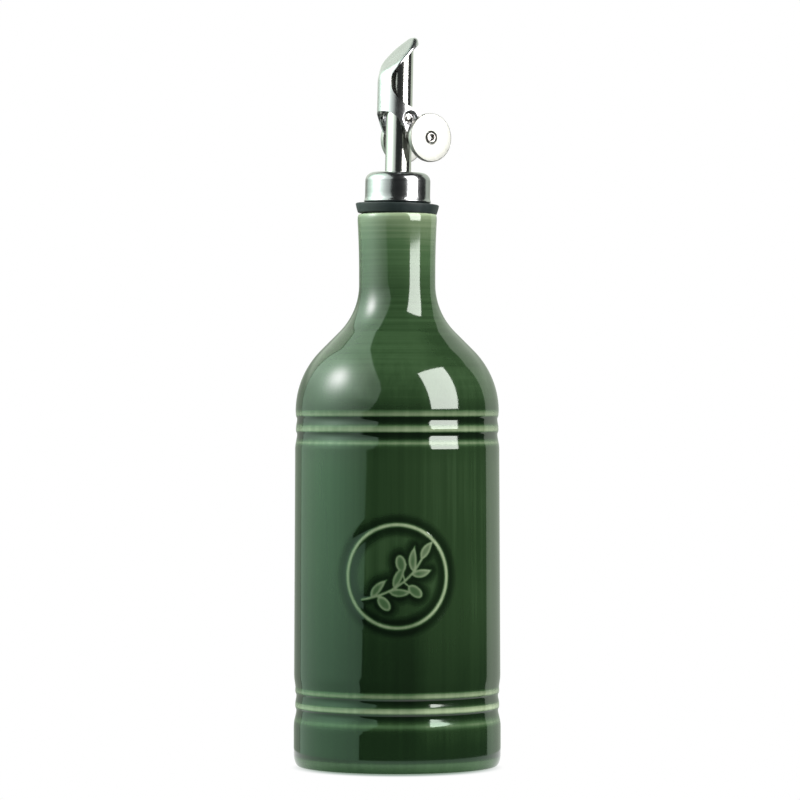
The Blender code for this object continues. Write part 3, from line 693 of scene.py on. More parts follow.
def lip_rows():
    """Rows of (radius, height) over the flat top and the rolled lip."""
    rows = [(0.5 * MM, RIM_HEIGHT), (7 * MM, RIM_HEIGHT), (12 * MM, RIM_HEIGHT)]
    lip_radius = float(np.interp(RIM_HEIGHT - LIP_DROP, *PROFILE))
    for i in range(LIP_STEPS + 1):
        turn = pi / 2 * i / LIP_STEPS
        inset, drop = LIP_INSET * (1 - sin(turn)), LIP_DROP * (1 - cos(turn))
        rows.append((lip_radius - inset, RIM_HEIGHT - drop))
    return rows


def foot_rows(radius):
    """Rows of (radius, height) round the foot's corner, over its ring and in its recess."""
    rows = []
    for i in range(1, FOOT_CORNER_STEPS + 1):
        turn = pi / 2 * i / FOOT_CORNER_STEPS
        inset, height = FOOT_CORNER_INSET * (1 - cos(turn)), FOOT_CORNER_HEIGHT * (1 - sin(turn))
        rows.append((radius - inset, height))
    inner = radius - FOOT_CORNER_INSET - FOOT_RING_WIDTH
    rows += [(inner + FOOT_RING_WIDTH * 0.5, 0.0), (inner, 0.0)]
    rows += [(inner - 0.4 * MM, 0.3 * MM), (inner - FOOT_RECESS_DEPTH, FOOT_RECESS_DEPTH)]
    return rows + [(15 * MM, FOOT_RECESS_DEPTH), (0.5 * MM, FOOT_RECESS_DEPTH)]


def bottle_rows():
    """Rows of (radius, height) from the middle of the top to the middle of the base."""
    rows = lip_rows()
    for top, foot, step in ROW_SPANS:
        count = int(round((top - foot) / step))
        for i in range(count):
            height = top - (top - foot) * (i + 1) / count
            rows.append((float(np.interp(height, *PROFILE)), height))
    return np.array(rows + foot_rows(rows[-1][0]))


def bottle_angles():
    """Angles round the bottle from the front, dense across the emblem."""
    front = np.linspace(-DENSE_ANGLE, DENSE_ANGLE, DENSE_COLUMNS)
    rest = np.linspace(DENSE_ANGLE, 2 * pi - DENSE_ANGLE, OTHER_COLUMNS + 2)[1:-1]
    return np.concatenate([front, rest])


def ridge_glaze(heights, thickness, edges, pale, line):
    """Thins the glaze on ridges, pools it in the grooves under them, and adds the soft line."""
    places = [place for place, _ in RIDGE_GLAZE]
    for edge, (reach, more) in zip(edges, pale):
        offsets = (heights - edge) / MM
        end = reach + ABOVE_REACH
        share = np.interp(offsets, (places[0], places[1], reach, end), (0.0, 1.0, 1.0, 0.0))
        thicker = [v + more * (place > 0) for place, v in RIDGE_GLAZE]
        ridge = np.interp(offsets, (*places, reach, end), (*thicker, REACH_GLAZE + more, ABOVE_GLAZE))
        thickness = thickness * (1 - share) + share * ridge
    drop, half, thin = line
    share = np.exp(-0.5 * ((heights - edges[-1] + drop) / half) ** 2)
    return thickness * (1 - share) + share * thin


def glaze_thickness(heights, turns, pooling):
    """Thickness of the glaze over the bottle, as a share of the body's, with painted light and shade on
    its right side.
    """
    places, values = np.array(GLAZE_BY_HEIGHT).T
    thickness = np.interp(heights, places * MM, values)
    thickness = ridge_glaze(heights, thickness, UPPER_RIDGES, UPPER_PALE, UPPER_LINE)
    thickness = ridge_glaze(heights, thickness, LOWER_RIDGES, LOWER_PALE, LOWER_LINE)
    # Painted light on the right of the body and painted shade on the right of the shoulder, on the front
    # only
    front = smoothstep(np.cos(turns), *PAINTED_FRONT_TURNS)
    thin = smoothstep(np.sin(turns), *PAINTED_LIGHT_TURNS) * smoothstep(heights, *PAINTED_LIGHT_START)
    thin = thin * (1 - PAINTED_LIGHT_END_SHARE * smoothstep(heights, *PAINTED_LIGHT_END))
    thick = smoothstep(np.sin(turns), *PAINTED_SHADE_TURNS) * smoothstep(heights, *PAINTED_SHADE_START)
    thick = thick * (1 - smoothstep(heights, *PAINTED_SHADE_END))
    return thickness + pooling + front * (PAINTED_SHADE_RIGHT * thick - PAINTED_LIGHT_RIGHT * thin)


def mark_bare(mesh):
    """Gives the foot's bare ring the second material."""
    centres = np.zeros(len(mesh.polygons) * 3, np.float32)
    mesh.polygons.foreach_get("center", centres)
    centres = centres.reshape(-1, 3)
    reach = np.hypot(centres[:, 0], centres[:, 1])
    bare = (centres[:, 2] < BARE_HEIGHT) & (reach > BARE_RADIUS)
    mesh.polygons.foreach_set("material_index", bare.astype(np.int32))


def bottle(glaze, biscuit):
    """The glazed bottle with its ridges, its emblem in relief and its bare foot ring."""
    rows, angles = bottle_rows(), bottle_angles()
    count, columns = len(rows), len(angles)
    radii, heights = (np.repeat(rows[:, k : k + 1], columns, 1) for k in range(2))
    turns = np.tile(angles, (count, 1))
    wrapped = np.where(turns > pi, turns - 2 * pi, turns) * float(wall_radius(EMBLEM_HEIGHT))
    radii = radii + read_field(FIELD_RELIEF, wrapped, heights - EMBLEM_HEIGHT)
    pooling = read_field(FIELD_POOLING, wrapped, heights - EMBLEM_HEIGHT)
    thickness = glaze_thickness(heights, turns, pooling)
    points = np.stack([radii * np.sin(turns), -radii * np.cos(turns), heights], 2).reshape(-1, 3)
    faces = grid_faces(count, columns, True)
    faces.append(tuple(range(columns))[::-1])
    faces.append(tuple((count - 1) * columns + k for k in range(columns)))
    mesh = bpy.data.meshes.new("glazed_bottle")
    mesh.from_pydata(points.tolist(), [], faces)
    layer = mesh.attributes.new("glaze", "FLOAT", "POINT")
    layer.data.foreach_set("value", thickness.astype(np.float32).ravel())
    mesh.update()
    mesh.flip_normals()
    mesh.shade_smooth()
    mesh.materials.append(glaze)
    mesh.materials.append(biscuit)
    mark_bare(mesh)
    item = linked("glazed_bottle", mesh)
    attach(item, "bottle")
    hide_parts("bottle")


# Stopper and spout


def sagged(point):
    """Lets the flange's lip hang a little on one side, and leans the point with the stopper."""
    turn = atan2(point.y, point.x)
    reach = min(max((hypot(point.x, point.y) - SAG_START) / SAG_WIDTH, 0.0), 1.0)
    sag = reach * (SAG * max(cos(turn - SAG_SIDE), 0.0) ** 3 + SAG_WAVE * sin(3 * turn + 0.8))
    return leaned(Vector((point.x, point.y, point.z - sag)))


def flange(material):
    """Rubber flange, whose lip sags a little on one side."""
    low, high, soft = FLANGE_LOW.z, FLANGE_HIGH.z, FLANGE_ROUNDING
    top, foot = FLANGE_TOP_RADIUS, FLANGE_FOOT_RADIUS
    profile = [(0.4 * MM, high), (9 * MM, high), (12.6 * MM, high), (13.6 * MM, high)]
    profile += arc((top - soft, high - soft), soft, 90, -8, 7)
    profile += [(top - 0.3 * MM, (high + low) / 2)]
    profile += arc((foot - soft + 0.1 * MM, low + soft), soft, -8, -90, 6)
    profile += [(12 * MM, low), (0.4 * MM, low)]
    item = turned("rubber_lip", profile, 96, "bottle", material, sagged)
    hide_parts("rubber_flange")


def cap(material):
    """Steel cap with a rounded shoulder, a fillet round the spout and a curled lower edge."""
    low, high = CAP_LOW.z, CAP_HIGH.z
    profile = [(3.0 * MM, high + 0.25 * MM), (SPOUT_RADIUS + 0.02 * MM, high + 0.25 * MM)]
    profile += arc((SPOUT_RADIUS + 0.5 * MM, high + 0.37 * MM), 0.46 * MM, 195, 270, 5)
    profile += [(7.4 * MM, high - 0.12 * MM)]
    profile += arc((CAP_RADIUS - CAP_CORNER, high - CAP_CORNER), CAP_CORNER, 90, 0, 16)
    profile += [(CAP_RADIUS, low + 3.4 * MM), (CAP_RADIUS + 0.03 * MM, low + 1.9 * MM)]
    profile += arc((CAP_RADIUS - 0.15 * MM, low + 0.55 * MM), 0.5 * MM, 50, -90, 8)
    profile += [(11.0 * MM, low), (4.0 * MM, low)]
    item = turned("steel_cap", profile, 128, "bottle", material, leaned)
    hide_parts("pourer_cap")


def mouth(radius, angle):
    """Height of the slanted mouth at a radius and an angle from the pouring side."""
    return MOUTH_HEIGHT + MOUTH_SLOPE * radius * cos(angle)


def spout(material):
    """Open spout tube with its mouth cut on a slant and its edges eased."""
    low = SPOUT_LOW.z
    # Rows from inside at the foot over the mouth to outside: radius, share of the height, drop
    rows = [(SPOUT_BORE, share, 0.0) for share in (0.0, 0.3, 0.7, 0.95)]
    rows += [(SPOUT_BORE, 1.0, SPOUT_EDGE), (SPOUT_BORE + SPOUT_EDGE, 1.0, 0.0)]
    rows += [(SPOUT_RADIUS - SPOUT_EDGE, 1.0, 0.0), (SPOUT_RADIUS, 1.0, SPOUT_EDGE)]
    rows += [(SPOUT_RADIUS, share, 0.0) for share in (0.98, 0.8, 0.5, 0.25, 0.0)]
    rows += rows[:1]
    vertices = []
    for radius, share, drop in rows:
        for k in range(SPOUT_SEGMENTS):
            angle = 2 * pi * k / SPOUT_SEGMENTS
            height = low + share * (mouth(radius, angle) - low) - drop
            vertices.append(from_pourer((radius * cos(angle), radius * sin(angle), height - PIVOT.z)))
    faces = grid_faces(len(rows), SPOUT_SEGMENTS, True)
    item = mesh_object("spout_pipe", vertices, faces, "bottle", material)
    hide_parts("spout_tube")


def pivot_rivets(material):
    """Domed rivets in the dimples of the ears."""
    profile = [(radius * MM, height * MM) for radius, height in RIVET_PROFILE]
    for name, side in (("near", 1), ("far", -1)):
        item = turned("rivet_" + name, profile, 40, "bottle", material, across(side, 0.0, 0.0))
        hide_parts("pivot_rivet_" + name)


# Flap


def ridge_point(distance):
    """Point of the cover's ridge in the flap's middle plane, at a distance along it."""
    rise = min(distance, BACK_RISE)
    turn = min(max(distance - BACK_RISE, 0.0) / BACK_ARC, COVER_LEAN)
    along = min(max(distance - BACK_RISE - BACK_ARC * COVER_LEAN, 0.0), COVER_STRAIGHT)
    tip = max(distance - BACK_RISE - BACK_ARC * COVER_LEAN - COVER_STRAIGHT, 0.0) / TIP_ARC
    x = -FLAP_RADIUS + BACK_ARC * (1 - cos(turn)) + along * sin(COVER_LEAN)
    x += TIP_ARC * (cos(COVER_LEAN) - cos(COVER_LEAN + tip))
    z = COVER_FOOT + rise + BACK_ARC * sin(turn) + along * cos(COVER_LEAN)
    z += TIP_ARC * (sin(COVER_LEAN + tip) - sin(COVER_LEAN))
    return (x, z)


def corner_size(angle, square):
    """How far a section reaches at an angle, beside a round one."""
    return (abs(sin(angle)) ** square + abs(cos(angle)) ** square) ** (1 / square)


def cover_half(side):
    """Points and quads of one half of the domed cover, from its foot to the tip."""
    stations = smooth_curve(COVER_STATIONS, COVER_ROWS)
    points = []
    for distance, reach, height, half_width, degrees, square in stations:
        ridge = ridge_point(max(distance, 0.0) * MM)
        limit = radians(min(degrees, 90.0))
        edge, fall = corner_size(limit, square), cos(limit)
        rim = (reach * MM, height * MM)
        centre = [(m - r * fall) / (1 - fall) for m, r in zip(rim, ridge)]
        for k in range(COVER_COLUMNS + 1):
            angle = limit * k / COVER_COLUMNS
            size = edge / corner_size(angle, square)
            up = fall + (size * cos(angle) - fall) / (edge - fall) * (1 - fall)
            x, z = (c + (r - c) * up for c, r in zip(centre, ridge))
            points.append((x, side * half_width * MM / sin(limit) * sin(angle) * size, z))
    return points, grid_faces(len(stations), COVER_COLUMNS + 1, False)


def ear_turn(axle):
    """Points of the ear's round end about the axle, between its two straight sides."""
    direction = atan2(-AXLE_DROP, AXLE_REACH)
    spread = pi / 2 + (EAR_AXLE_RADIUS - EAR_PIVOT_RADIUS) / hypot(AXLE_REACH, AXLE_DROP)
    points = []
    for i in range(EAR_STEPS + 1):
        angle = direction + spread - 2 * spread * i / EAR_STEPS
        points.append((axle[0] + EAR_AXLE_RADIUS * cos(angle), axle[1] + EAR_AXLE_RADIUS * sin(angle)))
    return points


def sheet_outline():
    """Outline of one half of the flat sheet below the cover: distance round the back, height."""
    quarter = FLAP_RADIUS * pi / 2
    pivot, axle = (quarter, 0.0), (quarter + AXLE_REACH, -AXLE_DROP)
    foot = FLAP_RADIUS * radians(COVER_FOOT_ANGLE)
    top = [(foot * k / COVER_COLUMNS, COVER_FOOT) for k in range(COVER_COLUMNS)]
    rim, low = (
        [tuple(p) for p in smooth_curve(np.array(line) * MM, EDGE_STEPS)]
        for line in (UPPER_RIM, LOWER_EDGE)
    )
    outline = top + rim + ear_turn(axle) + low
    dense = []
    for (x0, z0), (x1, z1) in zip(outline, outline[1:] + outline[:1]):
        pieces = max(int(hypot(x1 - x0, z1 - z0) / (1.3 * SHEET_STEP)), 1)
        dense += [(x0 + (x1 - x0) * i / pieces, z0 + (z1 - z0) * i / pieces) for i in range(pieces)]
    return dense, pivot, axle


def inside_outline(outline, x, z):
    """True if a point is inside the outline."""
    crossings = False
    for (x0, z0), (x1, z1) in zip(outline, outline[1:] + outline[:1]):
        if (z0 > z) != (z1 > z) and x < (x1 - x0) * (z - z0) / (z1 - z0) + x0:
            crossings = not crossings
    return crossings


def circle(centre, radius, steps):
    """Points of a circle."""
    angles = [2 * pi * i / steps for i in range(steps)]
    return [(centre[0] + radius * cos(a), centre[1] + radius * sin(a)) for a in angles]


def near(point, centre, radius):
    """True if a point is within a radius of a centre."""
    return hypot(point[0] - centre[0], point[1] - centre[1]) < radius


def loose_points(outline, pivot, axle):
    """Points inside the sheet: circles in the dimple, and a staggered grid elsewhere."""
    points = []
    for radius in DIMPLE_CIRCLES:
        points += circle(pivot, radius * MM, 48)
    edge = np.array(outline)
    low, high = edge.min(0), edge.max(0)
    for i, x in enumerate(np.arange(low[0], high[0], SHEET_STEP)):
        for z in np.arange(low[1] + (i % 2) * SHEET_STEP / 2, high[1], SHEET_STEP):
            if near((x, z), pivot, DIMPLE_CLEAR) or near((x, z), axle, AXLE_CLEAR):
                continue
            clear = np.hypot(edge[:, 0] - x, edge[:, 1] - z).min() >= 0.55 * SHEET_STEP
            if clear and inside_outline(outline, x, z):
                points.append((x, z))
    return points


def sheet_half(side):
    """Points and triangles of one half of the sheet below the cover, with its ear and dimple."""
    outline, pivot, axle = sheet_outline()
    points, edges = [], []
    for loop in (outline, circle(pivot, PIVOT_HOLE_RADIUS, 40), circle(axle, AXLE_HOLE_RADIUS, 48)):
        start = len(points)
        points += loop
        edges += [(start + i, start + (i + 1) % len(loop)) for i in range(len(loop))]
    points += loose_points(outline, pivot, axle)
    found = delaunay_2d_cdt([Vector((x / MM, z / MM)) for x, z in points], edges, [], 0, 1e-5)
    flat = [(v.x * MM, v.y * MM) for v in found[0]]
    kept = []
    for face in found[2]:
        middle = [sum(flat[k][axis] for k in face) / len(face) for axis in range(2)]
        if near(middle, pivot, PIVOT_HOLE_RADIUS) or near(middle, axle, AXLE_HOLE_RADIUS):
            continue
        if inside_outline(outline, *middle):
            kept.append(tuple(face))
    return [bend_sheet(x, z, side, pivot) for x, z in flat], kept


def bend_sheet(x, z, side, pivot):
    """Bends a point of the flat sheet round the back, and presses in the dimple at the pivot."""
    from_pivot = hypot(x - pivot[0], z - pivot[1])
    press = DIMPLE_DEPTH * (1 - float(smoothstep(from_pivot, DIMPLE_FLOOR_RADIUS, DIMPLE_RADIUS)))
    if x < pivot[0]:
        turn = x / FLAP_RADIUS
        radius = FLAP_RADIUS - press * float(smoothstep(turn, *DIMPLE_TURNS))
        return (-radius * cos(turn), side * radius * sin(turn), z)
    return (x - pivot[0], side * (FLAP_RADIUS - press), z)


def flap_surface():
    """Mesh of the flap's outer surface: cover, curved back and ears."""
    bm = bmesh.new()
    for side in (1, -1):
        for points, faces in (cover_half(side), sheet_half(side)):
            verts = [bm.verts.new(p) for p in points]
            for face in faces:
                loop = [verts[k] for k in face]
                if len(set(loop)) > 2:
                    bm.faces.new(loop)
    bmesh.ops.remove_doubles(bm, verts=bm.verts, dist=2e-5)
    bmesh.ops.recalc_face_normals(bm, faces=bm.faces)
    outermost = min(bm.faces, key=lambda f: f.calc_center_median().x)
    if outermost.normal.x > 0:
        bmesh.ops.reverse_faces(bm, faces=bm.faces)
    for vert in bm.verts:
        vert.co = from_pourer(vert.co)
    mesh = bpy.data.meshes.new("steel_flap")
    bm.to_mesh(mesh)
    bm.free()
    mesh.shade_smooth()
    return mesh


def flap(material):
    """The pressed steel flap, at the thickness of its sheet and with eased edges."""
    mesh = flap_surface()
    mesh.materials.append(material)
    item = linked("steel_flap", mesh)
    thick = item.modifiers.new("thickness", "SOLIDIFY")
    thick.thickness = FLAP_THICKNESS
    thick.offset = -1.0
    soften = item.modifiers.new("edges", "BEVEL")
    soften.width = FLAP_SOFTENING
    soften.segments = 2
    soften.limit_method = "ANGLE"
    soften.angle_limit = radians(60)
    graph = bpy.context.evaluated_depsgraph_get()
    item.data = bpy.data.meshes.new_from_object(item.evaluated_get(graph))
    item.modifiers.clear()
    item.data.shade_smooth()
    item.data.set_sharp_from_angle(angle=radians(50))
    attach(item, "flap")
    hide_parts("pour_flap")


def weights(material):
    """Counterweight discs with softened edges and an eased centre hole."""
    inner, outer, hole, ease = WEIGHT_INNER, WEIGHT_OUTER, WEIGHT_HOLE, WEIGHT_EASE
    soft = WEIGHT_ROUNDING
    profile = [(hole, inner + ease), (hole, outer - ease), (hole + ease, outer), (5.6 * MM, outer)]
    profile += arc((WEIGHT_RADIUS - soft, outer - soft), soft, 90, 0, 6)
    profile += arc((WEIGHT_RADIUS - soft, inner + soft), soft, 0, -90, 6)
    profile += [(hole + ease, inner), (hole, inner + ease)]
    for name, side in (("near", 1), ("far", -1)):
        place = across(side, AXLE_REACH, -AXLE_DROP)
        item = turned("weight_" + name, profile, 128, "flap", material, place)
        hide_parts("weight_disc_" + name)


def axle(material):
    """Axle of the weights with hollow, rolled-over ends."""
    end, middle = AXLE_HALF_LENGTH, (AXLE_BORE + AXLE_RADIUS) / 2
    half = [(0.05 * MM, end - 1.3 * MM), (0.8 * MM, end - 1.3 * MM), (AXLE_BORE, end - 1.0 * MM)]
    half += [(AXLE_BORE, end - 0.4 * MM)]
    half += arc((middle, end - 0.4 * MM), middle - AXLE_BORE, 180, 0, 10)
    half += [(AXLE_RADIUS, 5 * MM)]
    profile = half + [(r, -z) for r, z in reversed(half)]
    item = turned("axle_rivet", profile, 48, "flap", material, across(1, AXLE_REACH, -AXLE_DROP))
    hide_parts("weight_axle")


# Materials


class Nodes:
    """Node tree of a material or of the world, with short ways to add and join nodes."""

    def __init__(self, owner):
        owner.use_nodes = True
        self.owner, self.tree = owner, owner.node_tree

    def feed(self, socket, value):
        """Gives a socket a number, a colour or another node's output."""
        if isinstance(value, bpy.types.NodeSocket):
            self.tree.links.new(value, socket)
        else:
            socket.default_value = value

    def add(self, kind, inputs=None, **settings):
        """A new node with some of its settings and inputs."""
        node = self.tree.nodes.new(kind)
        for key, value in settings.items():
            setattr(node, key, value)
        for key, value in (inputs or {}).items():
            self.feed(node.inputs[key], value)
        return node

    def math(self, operation, *values):
        """Result of a sum on numbers or outputs."""
        return self.add("ShaderNodeMath", dict(enumerate(values)), operation=operation).outputs[0]

    def parts(self, vector):
        """X, Y and Z of a vector."""
        return self.add("ShaderNodeSeparateXYZ", {0: vector}).outputs

    def apart(self, vector, place):
        """Distance from a vector to a place."""
        node = self.add("ShaderNodeVectorMath", {0: vector, 1: place}, operation="DISTANCE")
        return node.outputs["Value"]

    def noise(self, stretch, detail, roughness):
        """Noise over the object, finer along an axis where the stretch is larger."""
        place = self.add("ShaderNodeTexCoord").outputs["Object"]
        mapped = self.add("ShaderNodeMapping", {"Vector": place, "Scale": stretch}).outputs[0]
        inputs = {"Vector": mapped, "Scale": 1.0, "Detail": detail, "Roughness": roughness}
        return self.add("ShaderNodeTexNoise", inputs).outputs["Fac"]

    def ramp(self, value, stops):
        """Colour by a value, between stops of place and colour."""
        node = self.add("ShaderNodeValToRGB", {"Fac": value})
        elements = node.color_ramp.elements
        while len(elements) < len(stops):
            elements.new(0.5)
        for element, (position, colour) in zip(elements, stops):
            element.position = position
            element.color = (*colour, 1.0)
        return node.outputs["Color"]

    def spread(self, value, low, high, to_low=0.0, to_high=1.0, kind="LINEAR"):
        """Carries a range of a value over to another range, and holds its ends."""
        inputs = {"Value": value, "From Min": low, "From Max": high, "To Min": to_low, "To Max": to_high}
        return self.add("ShaderNodeMapRange", inputs, interpolation_type=kind).outputs["Result"]

    def blend(self, share, first, second, kind="FLOAT"):
        """Blend of two numbers, or of two colours where the kind is RGBA."""
        inputs = {"Factor": share, "A": first, "B": second}
        return self.add("ShaderNodeMix", inputs, data_type=kind).outputs["Result"]


class Shader(Nodes):
    """Material of a piece."""

    def __init__(self, name):
        super().__init__(bpy.data.materials.new(name))
        self.surface = self.tree.nodes["Principled BSDF"]

    def set(self, name, value):
        """Sets an input of the surface."""
        self.feed(self.surface.inputs[name], value)

    def bump(self, height, strength, distance):
        """Fine relief by a height."""
        inputs = {"Height": height, "Strength": strength, "Distance": distance}
        self.set("Normal", self.add("ShaderNodeBump", inputs).outputs["Normal"])


class Glow(Nodes):
    """Plain glowing material of the studio."""

    def __init__(self, name, strength=1.0, colour=(1.0, 1.0, 1.0)):
        super().__init__(bpy.data.materials.new(name))
        self.tree.nodes.remove(self.tree.nodes["Principled BSDF"])
        self.light = self.lamp(strength, (*colour, 1.0))
        self.result = self.tree.nodes["Material Output"].inputs["Surface"]
        self.feed(self.result, self.light.outputs[0])

    def position(self):
        """Place of the lit point."""
        return self.add("ShaderNodeNewGeometry").outputs["Position"]

    def lamp(self, strength, colour):
        """Emission of a strength and a colour."""
        return self.add("ShaderNodeEmission", {"Color": colour, "Strength": strength})


def streaks_and_drift(shader, height):
    """Streaks in the glaze's thickness, and its slow drift over the bottle."""
    on_neck = shader.spread(height, *NECK_START)
    on_body = shader.math("SUBTRACT", 1.0, on_neck)
    parts = []
    for (stretch, amount), detail, share in ((NECK_MARKS, 4.0, on_neck), (BODY_RUNS, 3.0, on_body)):
        even = shader.math("SUBTRACT", shader.noise(stretch, detail, 0.6), 0.5)
        parts.append(shader.math("MULTIPLY", shader.math("MULTIPLY", even, share), amount))
    clouds = shader.noise(CLOUDS[0], 3.0, 0.5)
    drift = shader.math("MULTIPLY", shader.math("SUBTRACT", clouds, 0.5), CLOUDS[1])
    return shader.math("ADD", *parts), drift, clouds


def painted_reflection_tint(shader, x, y, z):
    """Painted green tint of the reflections, set by place on the body's front left and round the foot.
    """
    low = shader.spread(z, *PAINTED_TINT_HEIGHTS, 1.0, 0.0)
    left = shader.spread(x, *PAINTED_TINT_ACROSS)
    front = shader.spread(y, *PAINTED_TINT_DEPTH)
    foot = shader.spread(z, *FOOT_PAINTED_TINT_HEIGHTS, 0.0, FOOT_PAINTED_TINT)
    body = shader.math("MULTIPLY", shader.math("MULTIPLY", low, left), front)
    return shader.ramp(shader.math("MAXIMUM", body, foot), PAINTED_TINT_COLOURS)


def glaze_material():
    """Translucent green glaze: pale where thin on edges, dark where it pools, faintly streaked, with
    painted light and shade on its right side and a painted green tint in its reflections.
    """
    shader = Shader("green glaze")
    # The thickness holds the glaze's own thinning and pooling, and also painted light and shade on the
    # right side
    thickness = shader.add("ShaderNodeAttribute", attribute_name="glaze").outputs["Fac"]
    x, y, z = shader.parts(shader.add("ShaderNodeTexCoord").outputs["Object"])
    streaks, drift, clouds = streaks_and_drift(shader, z)
    total = shader.math("ADD", shader.math("ADD", thickness, streaks), drift)
    shader.set("Base Color", shader.ramp(shader.spread(total, 0.0, FULL_GLAZE), GLAZE_COLOURS))
    shader.set("Roughness", shader.spread(clouds, 0.3, 0.7, *GLAZE_ROUGHNESS))
    shader.set("IOR", GLAZE_IOR)
    # Painted reflection colour: the tint greens the reflections by place on the bottle
    shader.set("Specular Tint", painted_reflection_tint(shader, x, y, z))
    waves = shader.noise(GLAZE_WAVES, 2.0, 0.5)
    shader.bump(shader.math("ADD", shader.math("MULTIPLY", streaks, 0.5), waves), 0.05, 0.00006)
    return shader.owner


def biscuit_material():
    """Bare fired clay of the foot ring."""
    shader = Shader("bare stoneware")
    grain = shader.noise((900.0, 900.0, 900.0), 4.0, 0.6)
    shader.set("Base Color", shader.ramp(grain, ((0.3, (0.62, 0.58, 0.50)), (0.7, (0.78, 0.75, 0.68)))))
    shader.set("Roughness", 0.85)
    shader.bump(grain, 0.3, 0.0001)
    return shader.owner


def rubber_material():
    """Matt black rubber with a dusty bloom."""
    shader = Shader("black rubber")
    bloom = shader.noise((260.0, 260.0, 420.0), 4.0, 0.6)
    colours = ((0.25, (0.006, 0.011, 0.011)), (0.75, (0.016, 0.025, 0.025)))
    shader.set("Base Color", shader.ramp(bloom, colours))
    shader.set("Roughness", shader.spread(bloom, 0.2, 0.8, 0.42, 0.62))
    shader.set("Specular IOR Level", 0.32)
    shader.bump(shader.noise((1500.0, 1500.0, 1500.0), 2.0, 0.5), 0.25, 0.00006)
    return shader.owner


def steel_material(name, colour, darker, rough, stretch, bump):
    """Steel with fine marks along one direction, given by how the noise is stretched."""
    shader = Shader(name)
    marks = shader.noise(stretch, 4.0, 0.65)
    shader.set("Base Color", shader.ramp(marks, ((0.25, darker), (0.75, colour))))
    shader.set("Metallic", 1.0)
    smears = shader.noise((180.0, 180.0, 180.0), 3.0, 0.5)
    mixed = shader.math("ADD", shader.math("MULTIPLY", marks, 0.6), shader.math("MULTIPLY", smears, 0.4))
    shader.set("Roughness", shader.spread(mixed, 0.3, 0.7, *rough))
    shader.bump(marks, bump, 0.00003)
    return shader.owner


# Studio


def stage_polygon(name, corners, material, camera=False, diffuse=True):
    """A flat sheet of the studio."""
    mesh = bpy.data.meshes.new(name)
    mesh.from_pydata([tuple(c) for c in corners], [], [tuple(range(len(corners)))])
    mesh.materials.append(material)
    item = linked(name, mesh)
    item.visible_camera = camera
    item.visible_diffuse = diffuse
    item.visible_shadow = False


def falloff(glow, distance, width, light):
    """Light that falls off round a place."""
    square = glow.math("POWER", glow.math("DIVIDE", distance, width), 2.0)
    return glow.math("MULTIPLY", glow.math("EXPONENT", glow.math("MULTIPLY", square, -0.5)), light)


def left_panel():
    """Large white panel on the left, with the soft glow of the lamp behind it."""
    glow = Glow("left panel")
    place = glow.position()
    _, y, z = glow.parts(place)
    distance = glow.apart(place, HOT_PLACE)
    fade = glow.spread(y, *PANEL_FADE, kind="SMOOTHSTEP")
    plain = glow.math("MULTIPLY", fade, glow.spread(z, *PANEL_RISE, kind="SMOOTHSTEP"))
    light = glow.math("ADD", plain, falloff(glow, distance, GLOW_WIDTH, GLOW_LIGHT))
    glow.feed(glow.light.inputs["Strength"], light)
    colours = [(*colour, 1.0) for colour in (PANEL_FRONT_COLOUR, PANEL_BACK_COLOUR)]
    depth = glow.spread(y, *PANEL_DEPTHS)
    glow.feed(glow.light.inputs["Color"], glow.blend(depth, *colours, "RGBA"))
    spot = glow.lamp(falloff(glow, distance, HOT_WIDTH, HOT_LIGHT), HOT_COLOUR)
    both = glow.add("ShaderNodeAddShader", {0: glow.light.outputs[0], 1: spot.outputs[0]})
    glow.feed(glow.result, both.outputs[0])
    stage_polygon("left_panel", [(PANEL_X, *corner) for corner in PANEL_CORNERS], glow.owner)


def softbox():
    """Bright softbox on the right, above the bottle and facing down to it."""
    glow = Glow("softbox", SOFTBOX_LIGHT, SOFTBOX_COLOUR)
    stage_polygon("softbox", SOFTBOX_CORNERS, glow.owner)


def low_card():
    """Dark card that keeps most of the softbox out of the lower ridges."""
    glow = Glow("dark card", WORLD_LIGHT, WORLD_COLOUR)
    stage_polygon("low_card", CARD_CORNERS, glow.owner, diffuse=False)


def backdrop():
    """White backdrop behind the bottle, seen in its edges and dimmer in the middle."""
    glow = Glow("backdrop", BACKDROP_LIGHT, BACKDROP_COLOUR)
    x, _, z = glow.parts(glow.position())
    left, right = BACKDROP_SHARES[0][0], BACKDROP_SHARES[-1][0]
    stops = [
        ((place - left) / (right - left), (share * BACKDROP_LIGHT,) * 3)
        for place, share in BACKDROP_SHARES
    ]
    below = glow.ramp(glow.spread(x, left, right), stops)
    above = glow.spread(x, *BACKDROP_ABOVE)
    rise = glow.spread(z, *BACKDROP_RISE, kind="SMOOTHSTEP")
    glow.feed(glow.light.inputs["Strength"], glow.blend(rise, below, above))
    low, high = BACKDROP_HEIGHTS
    corners = [(left, low), (right, low), (right, high), (left, high)]
    corners = [(x, BACKDROP_Y, z) for x, z in corners]
    stage_polygon("backdrop", corners, glow.owner, diffuse=False)


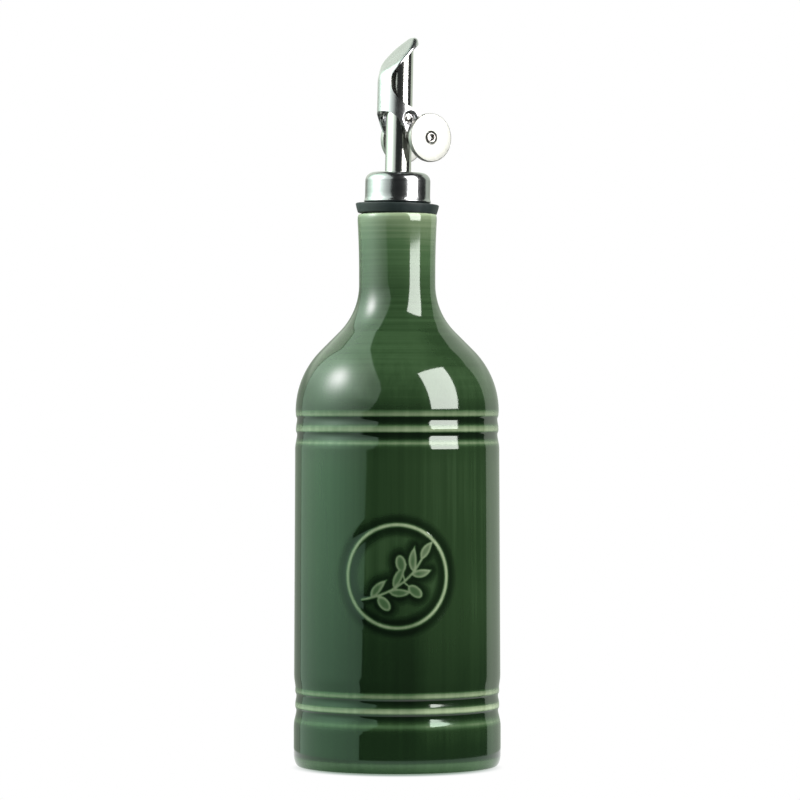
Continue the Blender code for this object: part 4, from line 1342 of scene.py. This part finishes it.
def floor():
    """White glowing floor under the bottle, with a painted contact shadow where the foot meets it."""
    glow = Glow("floor")
    # Painted shadow: the glow darkens to a greenish grey close to the foot, reaching further ahead than
    # to the sides
    share = glow.spread(glow.apart(glow.position(), CONTACT_SHADOW_CENTRE), *CONTACT_SHADOW_REACH, kind="SMOOTHSTEP")
    colour = glow.blend(share, (*PAINTED_CONTACT_SHADOW, 1.0), (1.0, 1.0, 1.0, 1.0), "RGBA")
    glow.feed(glow.light.inputs["Color"], colour)
    corners = [(x, y, -FLOOR_DROP) for x, y in circle((0.0, 0.0), FLOOR_RADIUS, FLOOR_CORNERS)]
    stage_polygon("floor_near", corners, glow.owner, camera=True)


def world():
    """White to the eye, nearly dark to the surfaces, as in a dim studio."""
    nodes = Nodes(bpy.data.worlds.new("studio"))
    bpy.context.scene.world = nodes.owner
    dark = nodes.tree.nodes["Background"]
    nodes.feed(dark.inputs["Color"], (*WORLD_COLOUR, 1.0))
    nodes.feed(dark.inputs["Strength"], WORLD_LIGHT)
    white = nodes.add("ShaderNodeBackground", {"Color": (1.0, 1.0, 1.0, 1.0)})
    seen = nodes.add("ShaderNodeLightPath").outputs["Is Camera Ray"]
    choose = nodes.add("ShaderNodeMixShader", {0: seen, 1: dark.outputs[0], 2: white.outputs[0]})
    nodes.feed(nodes.tree.nodes["World Output"].inputs["Surface"], choose.outputs[0])


def camera():
    """Camera at the photograph's viewpoint, level with the middle of the bottle."""
    data = bpy.data.cameras.new("camera")
    data.lens = CAMERA_LENS
    data.clip_start = 0.05
    data.clip_end = 20.0
    item = bpy.data.objects.new("camera", data)
    item.location = CAMERA_PLACE
    item.rotation_euler = (pi / 2, 0.0, 0.0)
    bpy.context.scene.collection.objects.link(item)
    bpy.context.scene.camera = item


camera()
bottle(glaze_material(), biscuit_material())
flange(rubber_material())
cap(steel_material("brushed cap steel", *CAP_STEEL))
spout(steel_material("polished spout steel", *SPOUT_STEEL))
pivot_rivets(steel_material("rivet steel", *RIVET_STEEL))
flap(steel_material("pressed steel", *FLAP_STEEL))
weights(steel_material("satin weight steel", *WEIGHT_STEEL))
axle(steel_material("axle steel", *AXLE_STEEL))
left_panel()
softbox()
low_card()
backdrop()
floor()
world()
bpy.context.scene.view_settings.view_transform = "Standard"
